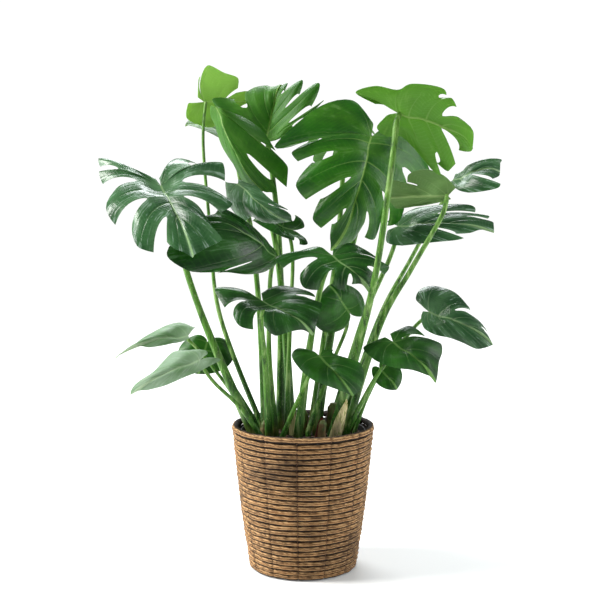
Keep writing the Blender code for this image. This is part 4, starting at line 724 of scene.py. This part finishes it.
def stemFinish():
    finish = Finish("oldStem")
    broad = finish.noise(60.0)
    fine = finish.noise(380.0, 3.0, 0.2)
    tone = finish.blend((88, 108, 52), (broad.ramp(0.35, 0.62), (128, 104, 66)),
                        (fine.ramp(0.45, 0.75) * 0.6, (66, 50, 32)))
    return finish.close(finish.body(tone, 0.62, finish.bump(fine + broad, 0.5, 0.0010)))


def makeCrown(number, place, radius, height, material):
    share = np.linspace(0, 1, crown["rings"])[:, None]
    angle = ringAngles(crown["sides"])
    scar = np.sin(np.pi * share * crown["scars"]) ** 8
    wide = radius * (1 - crown["taper"] * share + crown["scar"] * scar)
    wide = wide * (1 - np.maximum(0, share - crown["domeFrom"]) * crown["dome"])
    bump = 1 + 0.04 * np.sin(3 * angle + 9 * share) + 0.03 * np.sin(7 * angle - 14 * share)
    rings = polar(wide * bump, angle, soilTop - crown["buried"] + share * (height + crown["buried"]))
    lean = crown["lean"] * share
    rings = rings + np.stack((place[0] + lean, place[1] - lean, 0 * lean), -1)
    points, faces = joinTubes([rings])
    addPiece(f"crownFine{number}", points, faces, material, f"crown_{number}")


oldStem = stemFinish()
for number, (place, radius, height) in enumerate(crowns, 1):
    makeCrown(number, place, radius, height, oldStem)


# Dried sheaths: papery curled leaves that stand round a stem or stalk
paper = dict(columns=15, rows=16, thickness=0.0006, buried=0.003, taper=0.25, ripple=0.10, tip=0.05,
             sharp=60)
# foot, radius, height, lean, the side it faces, how far it reaches round, and its two colours
sheaths = dict(creamSheath=((0.060, -0.031), 0.0148, 0.085, (0.018, -0.023), -1.1, 1.4,
                            (222, 208, 160), (150, 160, 88)),
               rustSheath=((0.032, -0.040), 0.0115, 0.050, (0.004, -0.004), -1.6, 1.2,
                           (122, 58, 34), (70, 34, 22)),
               paleSheath=((-0.014, -0.004), 0.0160, 0.055, (-0.006, -0.004), -1.3, 1.3,
                           (178, 168, 120), (110, 120, 66)))


def makeSheath(name, foot, radius, height, lean, facing, spread, *colours):
    columns, rows = paper["columns"], paper["rows"]
    share = np.linspace(0, 1, rows)[:, None]
    side = np.linspace(-1, 1, columns)
    angle = facing + (spread * (1 - share ** 2.2) + paper["tip"]) * side
    ripple = 1 + paper["ripple"] * np.sin(9 * side + 5 * share) * share
    radius = radius * (1 - paper["taper"] * share) * ripple
    level = soilTop - paper["buried"] + height * share
    place = np.stack((foot[0] + lean[0] * share, foot[1] + lean[1] * share, 0 * share), -1)
    outer, inner = ((place + polar(radius - inset, angle, level)).reshape(-1, 3)
                    for inset in (0, paper["thickness"]))
    faces = []
    for row, column in np.ndindex(rows - 1, columns - 1):
        first = row * columns + column
        faces.append((first, first + 1, first + columns + 1, first + columns))
    points, faces = joinSheets(outer, inner, faces)
    finish = grainFinish(name + "Paper", *colours, 420.0, 3.0, (0.42, 0.68), 0.7, 0.5, 0.0008, 0.08)
    addPiece(name, points, faces, finish, "crown_1", None, paper["sharp"], False)


for name, values in sheaths.items():
    makeSheath(name, *values)
print("scene: stems made")


# Basket: ropes twisted from dried bark, laid in rows and stitched together along upright lines
basket = dict(height=0.285, baseRadius=0.106, rimRadius=0.140, rows=27, rimRow=0.013, rimOut=0.0005,
              swell=0.003, crest=0.42, drift=0.0009, around=300, sides=9, stitches=13,
              stitchTurn=math.radians(-95), pinch=0.20, stitchWidth=0.0020, thickness=0.535,
              wander=0.00035, uneven=0.05, sway=0.0004, drawnIn=0.0006,
              strand=0.055, twist=150, fibre=0.03, fibreTwist=260, coil=0.0101)
# pale only paints the highlight on the rope tops; dark is the bark's dark fibres and also painted shade
bark = dict(pale=(222, 178, 124), tan=(122, 78, 38), brown=(78, 44, 20), dark=(28, 16, 8),
            red=(116, 60, 30))
pitch = (basket["height"] - basket["rimRow"]) / basket["rows"]


def basketRadius(height):
    share = height / basket["height"]
    taper = basket["baseRadius"] + (basket["rimRadius"] - basket["baseRadius"]) * share
    return taper + basket["swell"] * np.sin(np.pi * share)


# a sum of a few waves round the basket, seeded by the row
def roughness(seed, angle, turns, waves=5):
    draw = random.Random(seed)
    total = 0 * angle
    for step in range(waves):
        size = math.sin(draw.random() * 6.28)
        total = total + size * np.sin(draw.randint(*turns) * angle + draw.random() * 6.28)
    return total / math.sqrt(waves)


def ropeRow(row, height, outer, thick, drift):
    angle = ringAngles(basket["around"])[:, None]
    profile = ringAngles(basket["sides"])[None, :]
    wander = drift * np.sin(angle * 2 + height * 40) + 0.5 * drift * np.sin(angle * 5 - height * 90)
    wander = wander + basket["wander"] * roughness(row, angle, (7, 24))
    girth = thick * (1 + basket["uneven"] * roughness(row + 100, angle, (5, 30)))
    gap = np.pi / basket["stitches"]
    fromStitch = np.abs((angle - basket["stitchTurn"] + gap) % (2 * gap) - gap) * outer
    stitch = bulge(fromStitch, basket["stitchWidth"])
    girth = girth * (1 - basket["pinch"] * stitch)
    arc = angle * outer
    twist = profile * 2 + arc * basket["twist"] + 2.0 * roughness(row + 200, angle, (3, 9))
    fibres = basket["fibre"] * np.sin(profile * 5 - arc * basket["fibreTwist"])
    radius = girth * (1 + basket["strand"] * np.sin(twist) + fibres)
    sway = basket["sway"] * roughness(row + 300, angle, (4, 14)) - basket["drawnIn"] * stitch
    distance = outer - thick + sway + radius * np.cos(profile)
    points = polar(distance, angle, height + wander + radius * np.sin(profile))
    tone = random.Random(row + 500).random()
    outward = 0.5 + 0.5 * np.cos(profile)
    notes = np.broadcast_arrays(arc, profile / fullTurn, stitch, tone, outward, float(row))
    return points, np.stack(notes, -1).reshape(-1, 6)


def makeBasket(material):
    ropes = []
    for row in range(basket["rows"]):
        drift = basket["drift"] * min(1.0, row / 3, (basket["rows"] - 1 - row) / 3)
        thick = pitch * basket["thickness"]
        height = max((row + basket["crest"]) * pitch, thick * 1.2 + drift)
        ropes.append(ropeRow(row, height, basketRadius(height), thick, drift))
    rimThick = basket["rimRow"] * 0.5
    ropes.append(ropeRow(basket["rows"], basket["height"] - rimThick,
                         basket["rimRadius"] + basket["rimOut"], rimThick, 0))
    points, faces = joinTubes([rope for rope, notes in ropes], True)
    notes = np.vstack([notes for rope, notes in ropes])
    addPiece("basketRopes", points, [face[::-1] for face in faces], material, "basket_wall",
             {"ropePlace": notes[:, :3], "ropeTone": notes[:, 3:]})


def barkFinish():
    finish = Finish("bananaBark")
    arc, around, stitch = finish.parts("ropePlace")
    tone, outward, row = finish.parts("ropeTone")
    # fibres run along the rope and turn round it with the twist
    turn = around * 7 + arc * 90
    strip = finish.join(arc * 20, turn.sine() * 0.5 + row * 3.7, row * 7.1)
    fibre = finish.join(arc * 60, around * 11 + arc * 30 + row * 5.3, row * 3.1)
    broad = finish.noise(1.0, place=strip)
    fine = finish.noise(1.6, place=fibre)
    patch = finish.noise(9.0)
    upward = (around * fullTurn).sine()
    # the pale tops of the ropes are a painted highlight; the dark undersides and the dark where each rope
    # turns into the seams are painted shade
    layers = ((broad.ramp(0.36, 0.62), "tan"), (patch.ramp(0.50, 0.64) * 0.5, "brown"),
              (patch.ramp(0.44, 0.32) * 0.4, "red"), (tone * 0.25, "brown"),
              (fine.ramp(0.48, 0.34) * 0.8, "dark"),
              ((0.20 + fine.ramp(0.42, 0.60) * 0.8) * upward.ramp(-0.1, 0.7), "pale"),
              (patch.ramp(0.54, 0.68) * 0.5, "dark"), (stitch * 0.30, "dark"),
              (upward.ramp(0.1, -0.9), "dark"), (outward.ramp(0.94, 0.60), "dark"))
    colour = finish.blend(bark["brown"], *((cover, bark[name]) for cover, name in layers))
    bump = finish.bump(fine + broad * 0.4, 0.6, 0.0014)
    return finish.close(finish.body(colour, 0.62 + fine * 0.2, bump, Specular_IOR_Level=0.25))


makeBasket(barkFinish())

# thread of each upright line of stitches, in and out over the rows
thread = dict(steps=270, sides=6, low=0.004, high=0.006, lean=0.02, swing=0.004, inset=0.0013,
              inSeam=0.0026, thick=0.0006, wide=0.0007)


def makeThreads(material):
    level = np.linspace(thread["low"], basket["height"] - thread["high"], thread["steps"])[:, None]
    row = level / pitch
    inSeam = 0.5 - 0.5 * np.cos(fullTurn * (row - basket["crest"]))
    distance = basketRadius(level) - thread["inset"] - thread["inSeam"] * inSeam
    angles = ringAngles(thread["sides"])
    tubes = []
    for stitch in range(basket["stitches"]):
        lean = random.Random(stitch + 40).uniform(-thread["lean"], thread["lean"])
        turn = basket["stitchTurn"] + fullTurn * stitch / basket["stitches"]
        turn = turn + lean * level / basket["height"] + thread["swing"] * np.sin(fullTurn * row)
        shift = turn + thread["wide"] * np.sin(angles) / distance
        tubes.append(polar(distance + thread["thick"] * np.cos(angles), shift, level))
    addPiece("stitchThreads", *joinTubes(tubes), material, "basket_wall", replaces=False)


makeThreads(grainFinish("stitchThread", (74, 48, 30), (124, 90, 60), 300.0, 2.0, (0.35, 0.65),
                        0.8, 0.4, 0.0005))

# Loose fibres and small knots that stand off the ropes
fibres = dict(count=110, sides=4, steps=7, level=(0.012, 0.270), length=(0.005, 0.016), rise=(-0.5, 0.5),
              off=(0.0015, 0.0045), inset=0.0006, thick=0.00030, thinning=0.7)


def makeFibres(material):
    draw = random.Random(11)
    share = np.linspace(0, 1, fibres["steps"])[:, None]
    angles = ringAngles(fibres["sides"])
    thin = fibres["thick"] * (1 - fibres["thinning"] * share)
    tubes = []
    for fibre in range(fibres["count"]):
        height = draw.uniform(*fibres["level"])
        turn = draw.uniform(0, fullTurn)
        length, rise, off = (draw.uniform(*fibres[key]) for key in ("length", "rise", "off"))
        distance = basketRadius(height) - fibres["inset"] + off * share ** 1.6
        level = height + rise * length * share ** 2
        tubes.append(polar(distance + thin * np.cos(angles), turn + length * share / distance,
                           level + thin * np.sin(angles)))
    addPiece("looseFibres", *joinTubes(tubes), material, "basket_wall", replaces=False)


def fibreFinish():
    finish = Finish("looseFibre")
    tone = finish.blend((120, 84, 54), (finish.noise(30.0).ramp(0.4, 0.6), (196, 160, 116)))
    return finish.close(finish.body(tone, 0.7))


makeFibres(fibreFinish())


def floorBarkFinish():
    finish = Finish("basketFloorBark")
    x, y = finish.split(finish.place())[:2]
    coil = (x.maths("SQRT", x * x + y * y) * (fullTurn / basket["coil"])).sine()
    fine = finish.noise(120.0, 4.0)
    # darker in the grooves between the coils: painted shade
    tone = finish.blend(bark["brown"], (fine.ramp(0.35, 0.7), bark["tan"]),
                        (coil.ramp(-0.2, -0.9), bark["dark"]))
    return finish.close(finish.body(tone, 0.75, finish.bump(coil * 2 + fine, 0.6, 0.0010)))


dress("basket_base", floorBarkFinish())
print("scene: basket made")


# Nursery pot: thin black plastic with a dull sheen
def potFinish():
    finish = Finish("potBlack")
    fine = finish.noise(260.0, 2.0)
    dust = finish.noise(24.0)
    tone = finish.blend((24, 24, 26), (dust.ramp(0.5, 0.75) * 0.5, (66, 58, 48)))
    return finish.close(finish.body(tone, 0.45 + dust * 0.2, finish.bump(fine, 0.15, 0.0005)))


# Soil: damp peat with bark chips and a few white crumbs
def soilFinish():
    finish = Finish("dampPeat")
    fine = finish.noise(210.0, 5.0)
    broad = finish.noise(40.0)
    tone = finish.blend((28, 20, 14), (fine.ramp(0.35, 0.70), (64, 46, 32)),
                        (broad.ramp(0.50, 0.75) * 0.5, (86, 62, 44)))
    return finish.close(finish.body(tone, 0.85, finish.bump(fine + broad * 2, 0.9, 0.0030)))


dress("nursery_pot", potFinish())
dress("soil", soilFinish())

# rings of a lump: their reach and level, in shares of its size
lump = dict(radius=0.121, clear=0.001, sides=6, rings=((0.75, -0.5), (1.0, 0.0), (0.7, 0.55)),
            uneven=(0.8, 1.1), tilt=0.5, narrow=(0.6, 1.0), sunk=0.35, sharp=25,
            fallFrom=0.112, fall=0.45)                      # the soil falls towards the pot
# how many lumps, their sizes, flatness and seed, and their two colours
lumps = dict(barkChips=(560, (0.0020, 0.0062), 0.55, 3, (52, 36, 26), (112, 80, 58)),
             darkChips=(560, (0.0016, 0.0048), 0.6, 5, (22, 16, 12), (54, 38, 28)),
             whiteCrumbs=(46, (0.0011, 0.0026), 0.9, 7, (214, 210, 198), (244, 242, 236)))


# angular lumps lying on the soil, clear of every stem
def makeLumps(name, count, sizes, flat, seed, *colours):
    draw = random.Random(seed)
    stems = [(leaf["foot"], leaf["girth"][0]) for leaf in leaves] + [stem[:2] for stem in crowns]
    rings = np.array(lump["rings"])
    swing = ringAngles(lump["sides"])
    tubes = []
    while len(tubes) < count:
        angle = draw.uniform(0, fullTurn)
        distance = lump["radius"] * math.sqrt(draw.random())
        x, y = distance * math.cos(angle), distance * math.sin(angle)
        size = draw.uniform(*sizes)
        room = size + lump["clear"]
        if distance + size > lump["radius"]:
            continue
        if any(math.hypot(x - spot[0], y - spot[1]) < wide + room for spot, wide in stems):
            continue
        turn = draw.uniform(0, math.pi)
        tilt = draw.uniform(-lump["tilt"], lump["tilt"])
        narrow = draw.uniform(*lump["narrow"])
        uneven = [[draw.uniform(*lump["uneven"]) for side in swing] for ring in rings]
        reach = size * rings[:, :1] * uneven
        a, b = reach * np.cos(swing), reach * narrow * np.sin(swing)
        level = soilTop - max(0.0, distance - lump["fallFrom"]) * lump["fall"]
        level = level + size * flat * (lump["sunk"] + rings[:, 1:]) + a * tilt * 0.5
        tubes.append(np.stack((x + a * math.cos(turn) - b * math.sin(turn),
                               y + a * math.sin(turn) + b * math.cos(turn), level), -1))
    finish = grainFinish(name[:-1], *colours, 190.0, 4.0, (0.35, 0.65), 0.78, 0.5, 0.0008)
    addPiece(name, *joinTubes(tubes), finish, "soil", None, lump["sharp"], False)


for name, values in lumps.items():
    makeLumps(name, *values)
print("scene: soil made")


# Stage: a pale floor without end, soft light from the upper left, a pale world all round
stage = dict(floorReach=60.0, floorDrop=0.0005, floorGlow=0.12, roomLight=0.32, backdrop=1.05,
             sunPower=3.2, sunAngle=22, sunFrom=(-2.0, -0.15, 2.2), sunColour=(1.0, 0.99, 0.96),
             cameraPlace=(-0.006, -2.28, 0.76), pitch=5.8, lens=70.56, sensor=36, farthest=100)
# softboxes: power, colour, place, where they point, width and height
softboxes = dict(backSoftbox=(100, (0.93, 0.97, 1.0), (-0.2, 2.4, 3.0), (0, 0, 0.7), 2.4, 1.1),
                 leftSoftbox=(42, (0.97, 0.99, 1.0), (-2.2, 0.0, 1.3), (0, 0, 0.5), 0.7, 1.6),
                 rightSoftbox=(28, (0.97, 0.99, 1.0), (2.4, -0.2, 1.2), (0, 0, 0.5), 0.8, 1.8))


def makeFloor():
    finish = Finish("studioFloor")
    colour = finish.blend((0.90, 0.90, 0.89, 1), (finish.noise(0.8, 2.0) * 0.1, (0.87, 0.87, 0.86, 1)))
    shader = finish.body(colour, 0.9, None, Emission_Color=(1, 1, 0.985, 1),
                         Emission_Strength=stage["floorGlow"], Specular_IOR_Level=0.1)
    reach, drop = stage["floorReach"], stage["floorDrop"]
    mesh = bpy.data.meshes.new("studioFloor")
    corners = [(x * reach, y * reach, -drop) for x, y in ((-1, -1), (1, -1), (1, 1), (-1, 1))]
    mesh.from_pydata(corners, [], [(0, 1, 2, 3)])
    mesh.materials.append(finish.close(shader))
    addToScene("studioFloor", mesh)


def addLight(name, kind, power, colour, place, aim, **settings):
    data = bpy.data.lights.new(name, kind)
    data.energy = power
    data.color = colour
    for key, value in settings.items():
        setattr(data, key, value)
    light = addToScene(name, data)
    light.location = place
    x, y, z = np.array(aim, float) - np.array(place, float)
    light.rotation_euler = (math.acos(-z / math.sqrt(x * x + y * y + z * z)), 0.0, math.atan2(-x, y))


# the camera sees a white backdrop, while the room lights the plant more softly
def makeWorld():
    world = Finish("paleStudio", bpy.data.worlds)
    room = world.add("Background", {}, {"Color": (0.93, 0.97, 1.0, 1), "Strength": stage["roomLight"]})
    backdrop = world.add("Background", {}, {"Color": (1, 1, 1, 1), "Strength": stage["backdrop"]})
    seen = world.add("LightPath", {}, {}, "Is Camera Ray")
    mix = world.add("MixShader", {}, {0: seen, 1: room, 2: backdrop})
    bpy.context.scene.world = world.close(mix, "OutputWorld")


def makeCamera():
    data = bpy.data.cameras.new("photoCamera")
    data.lens = stage["lens"]
    data.sensor_width = stage["sensor"]
    data.clip_end = stage["farthest"]
    camera = addToScene("photoCamera", data)
    camera.location = stage["cameraPlace"]
    camera.rotation_euler = (math.radians(90 - stage["pitch"]), 0, 0)
    bpy.context.scene.camera = camera


makeFloor()
addLight("keyLight", "SUN", stage["sunPower"], stage["sunColour"], stage["sunFrom"], (0, 0, 0),
         angle=math.radians(stage["sunAngle"]))
for name, (*values, width, height) in softboxes.items():
    addLight(name, "AREA", *values, shape="RECTANGLE", size=width, size_y=height)
makeWorld()
makeCamera()
bpy.context.scene.view_settings.view_transform = "Standard"
print("scene: stage made")
